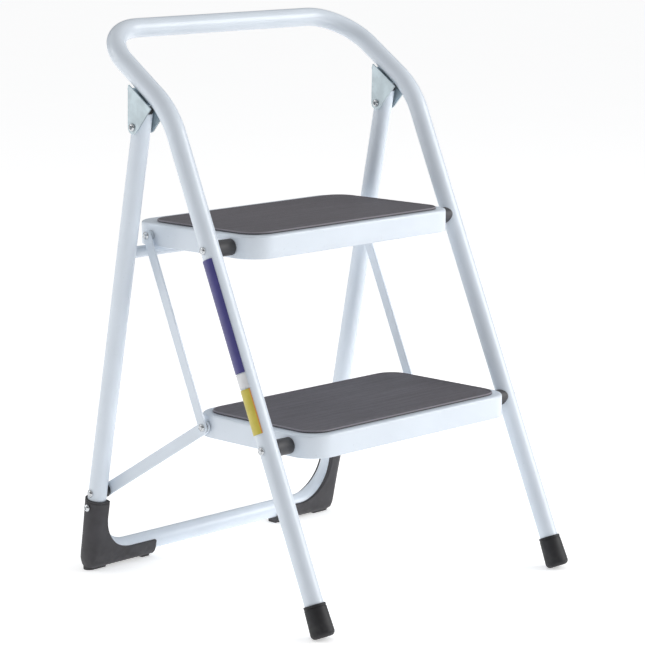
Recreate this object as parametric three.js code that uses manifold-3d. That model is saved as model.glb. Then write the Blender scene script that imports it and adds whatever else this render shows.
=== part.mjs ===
// A folding two-step stool: a bent front frame that ends in a hand loop, a rear U frame hinged to it,
// two pressed treads with rubber mats, and flat links that fold the treads with the rear frame.
// Millimetres. X runs across the stool, Y from front to back, Z up.
import * as THREE from "three";
import { mergeVertices } from "three/addons/utils/BufferGeometryUtils.js";
import Module from "manifold-3d";

const wasm = await Module();
wasm.setup();
const { degToRad } = THREE.MathUtils;

// Driving dimensions
const gap = 0.3; // clearance between pieces that touch
const tubeRadius = 12.5;
const tubeWall = 1.5;
const track = 435; // between the leg axes, left to right
const floorSpread = 447; // between the front and rear leg axes at the floor
const frontLean = degToRad(23.2);
const lowerPivotHeight = 220;
const stepRise = 235; // from the lower tread pivot to the upper one

// Hand loop
const bendHeight = 620; // where the leg axis meets the axis of the sloping top
const loopLean = degToRad(55.6);
const loopReach = 166.6;
const bendRadius = 110;
const loopRadius = 66;
const tubeSides = 16;
const bendStep = degToRad(10);

// Hinge brackets, measured along and below the axis of the sloping top
const earStart = 17.4;
const earEnd = 67.6;
const earTop = 8.3;
const hingeAlong = 32.4;
const hingeBelow = 48.9;
const earRadius = 9;
const plate = 2;
const earClearance = 0.8; // between the tube and the inside of an ear
const bracketRivetAlong = 56;

// Rear frame
const bottomBarHeight = 21.5;
const rearCornerRadius = 60;
const legAboveHinge = 19;
const plugHeight = 9;
const plugDepth = 14;
const crossBarRadius = 7.5;
const crossBarWall = 1.2;
const crossBarBehind = 3; // from the rear leg's axis back to the cross bar's

// Treads
const spacerLength = 21.5; // between a leg and a tread's skirt
const spacerRadius = 10.5;
const sheet = 1.5;
const treadAbovePivot = 15;
const skirtBelowPivot = 14;
const treadFront = 41.7; // from the pivot to the front edge
const lowerTreadRear = 179.6; // from the pivot to the rear edge
const upperTreadRear = 191.4;
const treadCorner = 35;
const treadEdge = 3;
const matThickness = 2.7;
const matEndInset = 11.5;
const matFront = 31; // from the pivot to the front edge
const matRear = 169; // from the pivot to the rear edge
const matCorner = 28;

// Folding links
const linkBeforeLeg = 5.42; // from the upper tread's rear rivet back to the rear leg's axis
const linkFoot = 112; // from the floor along the rear leg to the link's rivet
const upperLinkHalfWidth = 7;
const lowerLinkHalfWidth = 8;
const linkThickness = 3;
const washerThickness = 0.9;
const washerRadius = 7;
const sleeveRadius = 6.5;
const linkSpacerRadius = 9;
const linkSpacerWall = 1.8; // between the lower link's end and a rear leg
const linkFlat = 14; // of a lower link past each rivet, before it leans outwards

// Rivets
const shank = 3;
const headRadius = 5;
const headHeight = 2.6;
const tailHeight = 2;
const rivetSides = 12;

// Feet
const tipLength = 41;
const tipWall = 1.5; // of rubber round the tube at the top
const tipFlare = 1.2; // how much wider the tip is at the bottom
const tipFloor = 8; // rubber under the tube's end
const tipEdge = 6;
const tipSink = 3.2; // from the floor up to the middle of the tip's end
const bootWall = 2.7; // outside the leg at the boot's top
const bootFaceWall = 3; // in front of the leg and behind it
const bootFlat = 1; // half the flat that is left between the rounded edges
const bootTaper = 5.7; // how far the outside comes in from there to the floor
const bootSoleWall = 6.5; // under the bottom bar
const bootTop = 103; // along the leg from the floor
const bootArmEnd = 102; // from the leg axis to the end of the arm
const bootLegEdge = 11.5; // walls reach this far past the leg axis
const bootBarEdge = 5.5; // and this far above the bottom bar's axis
const bootScrewFoot = 92;
const padHalfDepth = 8;
const padHeight = 5;
const cornerPad = [-6.5, 24.5]; // from the leg axis inwards
const armPad = [86, 100.5];

// Label strips on the left front leg, without any lettering
const labelRadius = tubeRadius + 2 * gap;
const labelThickness = 0.3;
const labelHalfAngle = degToRad(43);
const blueLabel = [310.5, 444]; // heights of the two ends
const whiteLabel = [293, 309.5];
const yellowLabel = [239, 291.5];

// Finishes
const finish = (color, roughness, metalness = 0) =>
  new THREE.MeshStandardMaterial({ color, roughness, metalness });
const paint = finish(0xd3deec, 0.35);
const zinc = finish(0xb9c8cd, 0.35, 0.8);
const steel = finish(0xc9cdd0, 0.25, 1);
const rubber = finish(0x2b2a2d, 0.75);
const matRubber = finish(0x57545a, 0.7);
const plastic = finish(0x4a494d, 0.55);
const blackPlastic = finish(0x201f22, 0.5);
const blueFilm = finish(0x3b3a7a, 0.5);
const whiteFilm = finish(0xd8dade, 0.5);
const yellowFilm = finish(0xd9c63f, 0.5);

// Places in the side plane, as (y, z) pairs
const halfTrack = track / 2;
const frontLegAt = (height) =>
  new THREE.Vector2(height * Math.tan(frontLean), height);
const bendPoint = frontLegAt(bendHeight);
const alongTop = new THREE.Vector2(Math.sin(loopLean), Math.cos(loopLean));
const belowTop = new THREE.Vector2(Math.cos(loopLean), -Math.sin(loopLean));
const onTop = (along, below) =>
  bendPoint.clone().addScaledVector(alongTop, along).addScaledVector(belowTop, below);
const hinge = onTop(hingeAlong, hingeBelow);
const bendReach = bendRadius * Math.tan((loopLean - frontLean) / 2);
const bendSag = Math.max(0, bendReach - earStart) ** 2 / (2 * bendRadius);
const webTop = tubeRadius + bendSag + 2 * gap; // clear of the bend that the ears start beside
const webUnderside = webTop + plate;
const rearLean = Math.atan2(floorSpread - hinge.x, hinge.y);
const upRearLeg = new THREE.Vector2(-Math.sin(rearLean), Math.cos(rearLean));
const rearFoot = new THREE.Vector2(floorSpread, 0);
const rearLegAt = (distance) => rearFoot.clone().addScaledVector(upRearLeg, distance);
const hingeDistance = hinge.distanceTo(rearFoot);
const lowerPivot = frontLegAt(lowerPivotHeight);
const upperPivot = frontLegAt(lowerPivotHeight + stepRise);
const rearLegY = floorSpread - upperPivot.y * Math.tan(rearLean);
const linkPivotSpan = rearLegY - linkBeforeLeg - upperPivot.x; // from a tread's pivot to its rear rivet
const behind = (pivot) => new THREE.Vector2(pivot.x + linkPivotSpan, pivot.y);
const linkRivet = rearLegAt(linkFoot);

// Sizes that follow the tube
const tipTopRadius = tubeRadius + tipWall;
const tipBottomRadius = tipTopRadius + tipFlare;
const bootHalfDepth = tubeRadius + bootFaceWall;
const bootCornerRadius = bootHalfDepth - bootFlat;
const bootSide = tubeRadius + bootWall; // from the leg axis to the outside of the boot at its top
const bootSole = tubeRadius + bootSoleWall; // from the bottom bar's axis down to the underside

// Places across the stool, from its middle plane
const skirtOutside = halfTrack - tubeRadius - spacerLength;
const skirtInside = skirtOutside - sheet;
const lowerLinkInside = skirtOutside + washerThickness + 2 * gap;
const lowerLinkOutside = lowerLinkInside + linkThickness;
const upperLinkInside = lowerLinkOutside + washerThickness + 2 * gap;
const upperLinkOutside = upperLinkInside + linkThickness;
const legOutside = halfTrack + tubeRadius;
const legSeat = halfTrack - tubeRadius - gap - linkSpacerWall; // flat end of the leg's link spacer
const linkEndOutside = legSeat - gap;
const linkEndInside = linkEndOutside - linkThickness;

/**
 * How far a skirt has curved in beside a round piece, from its distance to the tread's edge. The near
 * side of the piece counts on the inside of the skirt, and its far side on the outside.
 */
function cornerInset(toEdge, pieceRadius, inside = true) {
  const radius = inside ? treadCorner - sheet : treadCorner;
  const past = Math.max(0, treadCorner - toEdge + (inside ? pieceRadius : -pieceRadius));
  return radius - Math.sqrt(Math.max(0, radius ** 2 - past ** 2));
}

const vector = (x, side) => new THREE.Vector3(x, side.x, side.y);

/** Closed solid from a geometry: shared corners merged, faces turned outwards. */
function solid(geometry) {
  geometry.deleteAttribute("normal");
  geometry.deleteAttribute("uv");
  const merged = mergeVertices(geometry, 1e-3);
  const corners = merged.attributes.position.array;
  const index = merged.index.array;
  const faces = [];
  for (let i = 0; i < index.length; i += 3) {
    const [a, b, c] = [index[i], index[i + 1], index[i + 2]];
    if (a !== b && b !== c && c !== a) faces.push(a, b, c);
  }
  const build = (triVerts) =>
    new wasm.Manifold(new wasm.Mesh({ numProp: 3, vertProperties: corners, triVerts }));
  const made = build(new Uint32Array(faces));
  return made.volume() > 0 ? made : build(new Uint32Array(faces.reverse()));
}

/** three.js geometry of a solid. */
function geometryOf(body) {
  const mesh = body.getMesh();
  const geometry = new THREE.BufferGeometry();
  geometry.setAttribute("position", new THREE.BufferAttribute(mesh.vertProperties, 3));
  geometry.setIndex(new THREE.BufferAttribute(mesh.triVerts, 1));
  geometry.computeVertexNormals();
  return geometry;
}

const cut = (body, ...tools) => tools.reduce((rest, tool) => rest.subtract(tool), body);

/** Straight round bar between two points. */
function rod(radius, from, to, sides = rivetSides) {
  const run = to.clone().sub(from);
  const geometry = new THREE.CylinderGeometry(radius, radius, run.length(), sides);
  const turn = new THREE.Quaternion().setFromUnitVectors(
    new THREE.Vector3(0, 1, 0), run.clone().normalize());
  geometry.applyQuaternion(turn);
  geometry.translate(...from.clone().add(to).multiplyScalar(0.5).toArray());
  return solid(geometry);
}

/** Round bar across the stool at a place in the side plane. */
const crossRod = (radius, from, to, side, sides) =>
  rod(radius, vector(from, side), vector(to, side), sides);

/** Turned piece: [radius, distance] pairs along an axis that leaves a point in a direction. */
function turned(profile, from, direction, sides = rivetSides) {
  const geometry = new THREE.LatheGeometry(
    profile.map(([radius, distance]) => new THREE.Vector2(radius, distance)), sides);
  geometry.applyQuaternion(
    new THREE.Quaternion().setFromUnitVectors(new THREE.Vector3(0, 1, 0), direction));
  geometry.translate(...from.toArray());
  return solid(geometry);
}

const outwards = new THREE.Vector3(1, 0, 0);
const crossTurned = (profile, side, sides) =>
  turned(profile, vector(0, side), outwards, sides);

/** Ring across the stool between two distances from its middle plane. */
const ring = (inner, outer, from, to, side, sides) =>
  crossTurned([[inner, from], [outer, from], [outer, to], [inner, to], [inner, from]], side, sides);

/** Rivet across the stool: a flat tail inside, a shank and a domed head outside. */
function rivet(tailEnd, headStart, side) {
  const tailStart = tailEnd - tailHeight;
  return crossTurned([
    [0, tailStart], [headRadius - 0.5, tailStart], [headRadius - 0.5, tailEnd], [shank, tailEnd],
    ...domedHead(headStart),
  ], side);
}

/** The rest of a rivet's profile, from its shank over a domed head to the axis. */
const domedHead = (start) => [
  [shank, start], [headRadius, start], [headRadius, start + 0.3 * headHeight],
  [0.68 * headRadius, start + 0.85 * headHeight], [0, start + headHeight],
];

/** Flat outline in the side plane, drawn as (y, z), given a thickness across the stool. */
function sidePlate(shape, from, to, curveSegments = 4) {
  const geometry = new THREE.ExtrudeGeometry(shape, {
    depth: to - from, bevelEnabled: false, curveSegments });
  const [x, y, z] = [0, 1, 2].map((axis) => new THREE.Vector3().setComponent(axis, 1));
  geometry.applyMatrix4(new THREE.Matrix4().makeBasis(y, z, x));
  geometry.translate(from, 0, 0);
  return solid(geometry);
}

function circle(centre, radius) {
  return new THREE.Path().absarc(centre.x, centre.y, radius, 0, 2 * Math.PI);
}

/** Rectangle with rounded corners. */
function roundedRectangle(left, bottom, right, top, radius) {
  const quarter = Math.PI / 2;
  const shape = new THREE.Shape();
  shape.absarc(right - radius, bottom + radius, radius, -quarter, 0);
  shape.absarc(right - radius, top - radius, radius, 0, quarter);
  shape.absarc(left + radius, top - radius, radius, quarter, 2 * quarter);
  shape.absarc(left + radius, bottom + radius, radius, 2 * quarter, 3 * quarter);
  return shape;
}

/** Route of a bent tube, whose parameter steps evenly from one station to the next. */
class TubeRoute extends THREE.Curve {
  constructor(corners) {
    super();
    this.stations = corners.flatMap((corner, i) => corner.radius
      ? bendStations(corners[i - 1].at, corner, corners[i + 1].at)
      : [endStation(corners, i)]);
  }
  getUtoTmapping(u) {
    return u;
  }
  between(t, field, target) {
    const place = t * (this.stations.length - 1);
    const first = Math.min(Math.round(place * 1e6) / 1e6 | 0, this.stations.length - 2);
    const { [field]: a } = this.stations[first];
    const { [field]: b } = this.stations[first + 1];
    return target.lerpVectors(a, b, place - first);
  }
  getPoint(t, target = new THREE.Vector3()) {
    return this.between(t, "point", target);
  }
  getTangent(t, target = new THREE.Vector3()) {
    return this.between(t, "tangent", target).normalize();
  }
}

function endStation(corners, i) {
  const [from, to] = i === 0 ? [corners[0], corners[1]] : [corners[i - 1], corners[i]];
  return { point: corners[i].at, tangent: to.at.clone().sub(from.at).normalize() };
}

/** Stations round one bend: an arc of the corner's radius that touches both straight runs. */
function bendStations(before, corner, after) {
  const into = corner.at.clone().sub(before).normalize();
  const out = after.clone().sub(corner.at).normalize();
  const turn = into.angleTo(out);
  const axis = into.clone().cross(out).normalize();
  const start = corner.at.clone().addScaledVector(into, -corner.radius * Math.tan(turn / 2));
  const centre = start.clone().addScaledVector(axis.clone().cross(into), corner.radius);
  const count = Math.max(3, Math.round(turn / bendStep));
  return Array.from({ length: count + 1 }, (_, i) => {
    const angle = (turn * i) / count;
    const point = start.clone().sub(centre).applyAxisAngle(axis, angle).add(centre);
    return { point, tangent: into.clone().applyAxisAngle(axis, angle) };
  });
}

/** Round bar or tube along a route. */
function swept(corners, radius, innerRadius = 0, sides = tubeSides) {
  const route = new TubeRoute(corners);
  const section = new THREE.Shape().absarc(0, 0, radius, 0, 2 * Math.PI);
  if (innerRadius) section.holes.push(circle(new THREE.Vector2(), innerRadius));
  return solid(new THREE.ExtrudeGeometry(section, {
    steps: route.stations.length - 1, extrudePath: route, curveSegments: sides / 2 }));
}

const mirroredCorners = (corners) => [
  ...corners,
  ...corners.toReversed().map(({ at, radius }) => ({
    at: new THREE.Vector3(-at.x, at.y, at.z), radius })),
];

// Front frame
const upFrontLeg = new THREE.Vector2(Math.sin(frontLean), Math.cos(frontLean));
const tipCentre = frontLegAt(tipSink);
const frontTubeFoot = tipCentre.clone().addScaledVector(upFrontLeg, tipFloor + gap);
const frontRoute = mirroredCorners([
  { at: vector(halfTrack, frontTubeFoot) },
  { at: vector(halfTrack, bendPoint), radius: bendRadius },
  { at: vector(halfTrack, onTop(loopReach, 0)), radius: loopRadius },
]);

// Rear frame
const barDistance = bottomBarHeight / upRearLeg.y;
const rearTop = rearLegAt(hingeDistance + legAboveHinge);
const rearRoute = mirroredCorners([
  { at: vector(halfTrack, rearTop) },
  { at: vector(halfTrack, rearLegAt(barDistance)), radius: rearCornerRadius },
]);

const through = legOutside + headHeight;
const hole = (side, from = -through, to = through) => crossRod(shank + gap, from, to, side);

/** The hole that a bracket's rivet passes through, from under the web into the tube. */
const bracketRivetHole = (x) =>
  rod(shank - 1 + gap, vector(x, onTop(bracketRivetAlong, 2 * tubeRadius)),
    vector(x, onTop(bracketRivetAlong, 0)));

function frontTube() {
  return cut(swept(frontRoute, tubeRadius, tubeRadius - tubeWall),
    hole(lowerPivot), hole(upperPivot), bracketRivetHole(halfTrack), bracketRivetHole(-halfTrack));
}

function rearTube() {
  return cut(swept(rearRoute, tubeRadius, tubeRadius - tubeWall),
    hole(hinge), hole(linkRivet), bootScrewHole(1), bootScrewHole(-1));
}

const bootScrewHole = (sign) =>
  hole(rearLegAt(bootScrewFoot), sign * halfTrack, sign * (halfTrack + 2 * bootSide));

/** Straight leg stretch, a clearance larger than the tube, for cutting what fits against it. */
const legClearance = (from, to, x) =>
  rod(tubeRadius + gap, vector(x, from), vector(x, to), 24);

/** Bar between the rear legs that the upper tread's skirt rests on. */
function crossBar() {
  const height = upperPivot.y - skirtBelowPivot - gap - crossBarRadius;
  const distance = height / upRearLeg.y;
  const place = rearLegAt(distance).add(new THREE.Vector2(crossBarBehind, 0));
  const leg = (x) =>
    legClearance(rearLegAt(distance - spacerLength), rearLegAt(distance + spacerLength), x);
  return cut(crossRod(crossBarRadius, -halfTrack, halfTrack, place),
    crossRod(crossBarRadius - crossBarWall, -halfTrack, halfTrack, place),
    leg(halfTrack), leg(-halfTrack));
}

// Treads

/** Pressed pan: a flat top with a rounded edge and a skirt all round, open underneath. */
function pan(pivot, rear) {
  const outline = (inset) => roundedRectangle(
    -skirtOutside + inset, -treadFront + inset, skirtOutside - inset, rear - inset, treadCorner - inset);
  const height = treadAbovePivot + skirtBelowPivot;
  const outer = new THREE.ExtrudeGeometry(outline(0), {
    depth: height - treadEdge, curveSegments: 3, bevelSegments: 2,
    bevelThickness: treadEdge, bevelSize: treadEdge, bevelOffset: -treadEdge });
  const inner = new THREE.ExtrudeGeometry(outline(sheet), {
    depth: height, bevelEnabled: false, curveSegments: 3 });
  outer.translate(0, pivot.x, pivot.y - skirtBelowPivot);
  inner.translate(0, pivot.x, pivot.y - skirtBelowPivot - sheet);
  const size = 2 * (skirtOutside + rear);
  const below = new THREE.BoxGeometry(size, size, 2 * treadEdge);
  below.translate(0, pivot.x, pivot.y - skirtBelowPivot - treadEdge);
  return cut(solid(outer), solid(inner), solid(below), hole(pivot), hole(behind(pivot)));
}

function mat(pivot) {
  const end = skirtOutside - matEndInset;
  const geometry = new THREE.ExtrudeGeometry(
    roundedRectangle(-end, -matFront, end, matRear, matCorner),
    { depth: matThickness, bevelEnabled: false, curveSegments: 3 });
  geometry.translate(0, pivot.x, pivot.y + treadAbovePivot + gap);
  return solid(geometry);
}

/** Plastic spacer whose outer end is hollowed to sit on a leg tube. */
function saddleSpacer(radius, from, side, legFrom, legTo) {
  return cut(ring(shank + gap, radius, from, halfTrack - tubeRadius / 2, side, tubeSides),
    legClearance(legFrom, legTo, halfTrack));
}

// Links

/** Flat bar with round ends and a hole at each end. */
function link(from, to, inside, halfWidth) {
  const angle = Math.atan2(to.y - from.y, to.x - from.x);
  const quarter = Math.PI / 2;
  const shape = new THREE.Shape();
  shape.absarc(from.x, from.y, halfWidth, angle + quarter, angle + 3 * quarter);
  shape.absarc(to.x, to.y, halfWidth, angle - quarter, angle + quarter);
  shape.holes.push(circle(from, shank + 2 * gap), circle(to, shank + 2 * gap));
  return sidePlate(shape, inside, inside + linkThickness);
}

/** Lower link: flat beside both rivets, and leaning outwards between them to reach the leg. */
function lowerLink() {
  const run = linkRivet.clone().sub(behind(lowerPivot));
  const along = run.clone().normalize();
  const at = (distance) => linkRivet.clone().addScaledVector(along, -distance);
  const straight = link(behind(lowerPivot), linkRivet, lowerLinkInside, lowerLinkHalfWidth);
  const end = link(behind(lowerPivot), linkRivet, linkEndInside, lowerLinkHalfWidth);
  const slice = (distance, inside) => {
    const box = new THREE.BoxGeometry(linkThickness, 2 * lowerLinkHalfWidth, 0.01);
    box.rotateX(along.angle() - Math.PI / 2);
    box.translate(...vector(inside + linkThickness / 2, at(distance)).toArray());
    return solid(box);
  };
  const middle = wasm.Manifold.hull([
    slice(run.length() - linkFlat, lowerLinkInside), slice(linkFlat, linkEndInside)]);
  const normal = [0, along.x, along.y];
  const rearBend = along.dot(at(linkFlat));
  const frontBend = along.dot(at(run.length() - linkFlat));
  const front = straight.trimByPlane(normal.map((part) => -part), -frontBend);
  const rear = end.trimByPlane(normal, rearBend);
  return front.add(middle).add(rear);
}

// Hinge brackets

/** Where a line from a point touches a circle, on the side that the turn gives. */
function tangentAngle(point, centre, radius, turn) {
  const away = point.clone().sub(centre);
  return away.angle() + turn * Math.acos(radius / away.length());
}

/** One ear: a straight top edge that narrows to a round end about the hinge. */
function ear(from) {
  const [start, end] = [onTop(earStart, earTop), onTop(earEnd, earTop)];
  const first = tangentAngle(end, hinge, earRadius, -1);
  const last = tangentAngle(start, hinge, earRadius, 1);
  const shape = new THREE.Shape();
  shape.moveTo(start.x, start.y);
  shape.lineTo(end.x, end.y);
  shape.absarc(hinge.x, hinge.y, earRadius, first, last, true);
  return sidePlate(shape, from, from + plate, 5);
}

/** Two ears joined by a web that sits under the sloping top of the frame. */
function bracket() {
  const reach = tubeRadius + earClearance;
  const web = new THREE.BoxGeometry(2 * reach + plate, earEnd - earStart, plate);
  web.rotateX(Math.PI / 2 - loopLean);
  web.translate(...vector(halfTrack, onTop((earStart + earEnd) / 2, webTop + plate / 2)).toArray());
  return cut(
    ear(halfTrack - reach - plate).add(ear(halfTrack + reach)).add(solid(web)),
    hole(hinge, halfTrack - 2 * reach, halfTrack + 2 * reach), bracketRivetHole(halfTrack));
}

/** Blind rivet that holds a bracket's web to the tube. */
function bracketRivet() {
  const start = vector(halfTrack, onTop(bracketRivetAlong, webUnderside + gap));
  const down = vector(0, belowTop);
  const inside = -(webUnderside + gap - tubeRadius + tubeWall + 1);
  return turned([
    [0, inside], [shank - 1, inside], [shank - 1, 0], [headRadius - 1, 0], [headRadius - 1, 0.6],
    [headRadius / 2, 1.4], [0, 1.6],
  ], start, down, 10);
}

/** Rivet through both ears and the rear leg, with a head on each side. */
function hingeRivet() {
  const reach = tubeRadius + earClearance + plate + gap;
  const inner = domedHead(halfTrack + reach).map(([radius, x]) => [radius, 2 * halfTrack - x]);
  return crossTurned([...inner.toReversed(), ...domedHead(halfTrack + reach)], hinge);
}

/** Cap in the open top of a rear leg. */
function legPlug() {
  const stub = tubeRadius - tubeWall - 2 * gap;
  return turned([
    [0, -plugDepth], [stub - 1, -plugDepth], [stub, 1 - plugDepth], [stub, gap],
    [tubeRadius, gap], [tubeRadius, plugHeight - 3.5], [tubeRadius - 1.2, plugHeight - 1],
    [tubeRadius - 4, plugHeight], [0, plugHeight],
  ], vector(halfTrack, rearTop), vector(0, upRearLeg), tubeSides);
}

// Feet
const floorBlock = () => {
  const size = 3 * floorSpread;
  const block = new THREE.BoxGeometry(size, size, size);
  block.translate(0, 0, -size / 2);
  return solid(block);
};

/** Rubber tip on a front leg: a cup with a rounded end, flattened where it stands. */
function footTip() {
  const inside = tubeRadius + gap;
  const cup = turned([
    [0, 0], [tipBottomRadius - tipEdge, 0], [tipBottomRadius - 0.3 * tipEdge, 0.3 * tipEdge],
    [tipBottomRadius, tipEdge], [tipTopRadius, tipLength - 1], [tipTopRadius - 0.6, tipLength],
    [inside, tipLength], [inside, tipFloor], [0, tipFloor],
  ], vector(halfTrack, tipCentre), vector(0, upFrontLeg), tubeSides);
  return cut(cup, floorBlock());
}

/** Stands a shape in the rear frame's own plane: X across, Y up the leg, Z through the frame. */
function inRearPlane(geometry) {
  geometry.rotateX(Math.PI / 2 + rearLean);
  geometry.translate(0, rearFoot.x, rearFoot.y);
  return solid(geometry);
}

/** Plate as thick as a boot, with a leg arm and a bar arm round the frame's corner. */
function bootPlate() {
  const legEdge = halfTrack - bootLegEdge;
  const barEdge = barDistance + bootBarEdge;
  const armEnd = halfTrack - bootArmEnd;
  const side = halfTrack + bootSide;
  const corner = side - bootTaper * (1 - (barDistance - bootSole) / bootTop);
  const curve = rearCornerRadius - bootLegEdge;
  const shape = new THREE.Shape();
  shape.moveTo(armEnd, barDistance - bootSole);
  shape.lineTo(corner, barDistance - bootSole);
  shape.lineTo(side, bootTop);
  shape.lineTo(legEdge, bootTop);
  shape.absarc(legEdge - curve, barEdge + curve, curve, 0, -Math.PI / 2, true);
  shape.lineTo(armEnd, barEdge);
  const geometry = new THREE.ExtrudeGeometry(shape, {
    depth: 2 * bootHalfDepth, bevelEnabled: false, curveSegments: 4 });
  geometry.translate(0, 0, -bootHalfDepth);
  return inRearPlane(geometry);
}

/** Block along the leg, or along the bar, that rounds the outside of a boot. */
function bootRounding(alongBar) {
  const length = 2 * (bootTop + bootArmEnd);
  const [low, high] = alongBar
    ? [barDistance - bootSole, barDistance + length]
    : [halfTrack - length, halfTrack + bootSide];
  const section = roundedRectangle(low, -bootHalfDepth, high, bootHalfDepth, bootCornerRadius);
  const geometry = new THREE.ExtrudeGeometry(section, {
    depth: 2 * length, bevelEnabled: false, curveSegments: 3 });
  geometry.translate(0, 0, -length);
  const [x, y, z] = [0, 1, 2].map((axis) => new THREE.Vector3().setComponent(axis, 1));
  geometry.applyMatrix4(alongBar
    ? new THREE.Matrix4().makeBasis(y, z, x)
    : new THREE.Matrix4().makeBasis(x, z.clone().negate(), y));
  if (!alongBar) {
    geometry.translate(-halfTrack - bootSide, -bootTop, 0);
    geometry.rotateZ(-Math.atan(bootTaper / bootTop));
    geometry.translate(halfTrack + bootSide, bootTop, 0);
  }
  return inRearPlane(geometry);
}

function pad([from, to]) {
  const block = new THREE.BoxGeometry(to - from, 2 * padHalfDepth, padHeight);
  block.translate(halfTrack - (from + to) / 2, rearFoot.x, padHeight / 2);
  return solid(block);
}

/** Corner boot: an L-shaped channel round the outside of the rear frame's corner. */
function boot() {
  const body = bootPlate().intersect(bootRounding(false)).intersect(bootRounding(true));
  return cut(body.add(pad(cornerPad)).add(pad(armPad)),
    swept(rearRoute, tubeRadius + gap), bootScrewHole(1), floorBlock());
}

/** Short screw through a boot's side into the leg. */
function bootScrew() {
  const start = halfTrack + bootSide + gap;
  const end = legOutside - tubeWall - 2;
  return crossTurned([[0, end], [shank, end], ...domedHead(start)], rearLegAt(bootScrewFoot));
}

/** Thin strip wrapped round the outer side of a front leg between two heights. */
function label([low, high]) {
  const shape = new THREE.Shape();
  shape.absarc(0, 0, labelRadius + labelThickness, -labelHalfAngle, labelHalfAngle);
  shape.absarc(0, 0, labelRadius, labelHalfAngle, -labelHalfAngle, true);
  const length = (high - low) / upFrontLeg.y;
  const geometry = new THREE.ExtrudeGeometry(shape, {
    depth: length, bevelEnabled: false, curveSegments: 4 });
  geometry.rotateX(-frontLean);
  geometry.translate(...vector(halfTrack, frontLegAt(low)).toArray());
  return solid(geometry);
}

// The whole stool

function named(parent, name, body, material) {
  const mesh = new THREE.Mesh(geometryOf(body), material);
  mesh.name = name;
  parent.add(mesh);
}

/** The pieces that the stool has once on each side, built for the +X side. */
function sidePieces(group, side) {
  const put = (name, body, material) => named(group, `${name}_${side}`, body, material);
  put("front_foot_tip", footTip(), rubber);
  put("rear_corner_boot", boot(), plastic);
  put("boot_screw", bootScrew(), steel);
  put("rear_leg_plug", legPlug(), blackPlastic);
  put("hinge_bracket", bracket(), zinc);
  put("bracket_rivet", bracketRivet(), steel);
  put("hinge_rivet", hingeRivet(), steel);
  for (const [step, pivot, rear] of [
    ["lower", lowerPivot, lowerTreadRear], ["upper", upperPivot, upperTreadRear],
  ]) {
    const washerSeat = skirtInside - cornerInset(treadFront, washerRadius) - gap;
    const tail = washerSeat - washerThickness - gap;
    put(`${step}_pivot_rivet`, rivet(tail, legOutside + gap, pivot), steel);
    put(`${step}_pivot_washer`, ring(shank + gap, washerRadius, tail + gap, washerSeat, pivot), steel);
    put(`${step}_pivot_spacer`, saddleSpacer(
      spacerRadius, skirtOutside + gap, pivot,
      frontLegAt(pivot.y - 2 * spacerRadius), frontLegAt(pivot.y + 2 * spacerRadius)), plastic);
    put(`${step}_link_rivet`,
      rivet(skirtInside - cornerInset(rear - linkPivotSpan, headRadius) - gap,
        upperLinkOutside + gap, behind(pivot)), steel);
  }
  put("upper_link",
    link(behind(lowerPivot), behind(upperPivot), upperLinkInside, upperLinkHalfWidth), paint);
  put("lower_link", lowerLink(), paint);
  const curvedIn = cornerInset(lowerTreadRear - linkPivotSpan, washerRadius, false);
  put("inner_link_washer", ring(
    shank + gap, washerRadius, skirtOutside - curvedIn + gap, lowerLinkInside - gap,
    behind(lowerPivot)), steel);
  put("outer_link_washer", ring(
    shank + gap, washerRadius, lowerLinkOutside + gap, upperLinkInside - gap, behind(lowerPivot)), steel);
  put("upper_link_sleeve", ring(
    shank + gap, sleeveRadius, skirtOutside + gap, upperLinkInside - gap, behind(upperPivot)), steel);
  put("leg_link_spacer", saddleSpacer(
    linkSpacerRadius, legSeat, linkRivet,
    rearLegAt(linkFoot - 2 * spacerRadius), rearLegAt(linkFoot + 2 * spacerRadius)), blackPlastic);
  put("leg_link_rivet", crossTurned([
    [0, legSeat], [shank, legSeat], ...domedHead(legOutside + gap),
  ], linkRivet), steel);
  put("link_end_rivet", crossTurned([
    [0, linkEndInside - gap - tailHeight], [headRadius - 0.5, linkEndInside - gap - tailHeight],
    [headRadius - 0.5, linkEndInside - gap], [shank, linkEndInside - gap],
    [shank, linkEndOutside - gap], [0, linkEndOutside - gap],
  ], linkRivet), steel);
}

const stool = new THREE.Group();
named(stool, "front_frame_tube", frontTube(), paint);
named(stool, "rear_frame_tube", rearTube(), paint);
named(stool, "rear_cross_bar", crossBar(), paint);
named(stool, "lower_tread_pan", pan(lowerPivot, lowerTreadRear), paint);
named(stool, "upper_tread_pan", pan(upperPivot, upperTreadRear), paint);
named(stool, "lower_tread_mat", mat(lowerPivot), matRubber);
named(stool, "upper_tread_mat", mat(upperPivot), matRubber);

for (const [side, sign] of [["left", -1], ["right", 1]]) {
  const group = new THREE.Group();
  group.scale.x = sign;
  sidePieces(group, side);
  if (side === "left") {
    named(group, "blue_label", label(blueLabel), blueFilm);
    named(group, "white_label", label(whiteLabel), whiteFilm);
    named(group, "yellow_label", label(yellowLabel), yellowFilm);
  }
  stool.add(group);
}

// The frame's origin is on the floor under the middle of the whole stool.
const box = new THREE.Box3().setFromObject(stool);
const middle = box.getCenter(new THREE.Vector3());
stool.position.set(-middle.x, -middle.y, -box.min.z);

export default stool;
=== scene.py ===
"""A folding two-step stool, dressed for rendering: bent tubes, pressed treads, rubber mats and feet.

Lengths are millimetres until a mesh is written. X runs across the stool, Y from front to back, Z up.
"""
import logging
import math
from dataclasses import dataclass, field
from enum import Enum
from typing import Any, Sequence

import bmesh
import bpy
import numpy as np
from mathutils import Matrix, Vector

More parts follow.
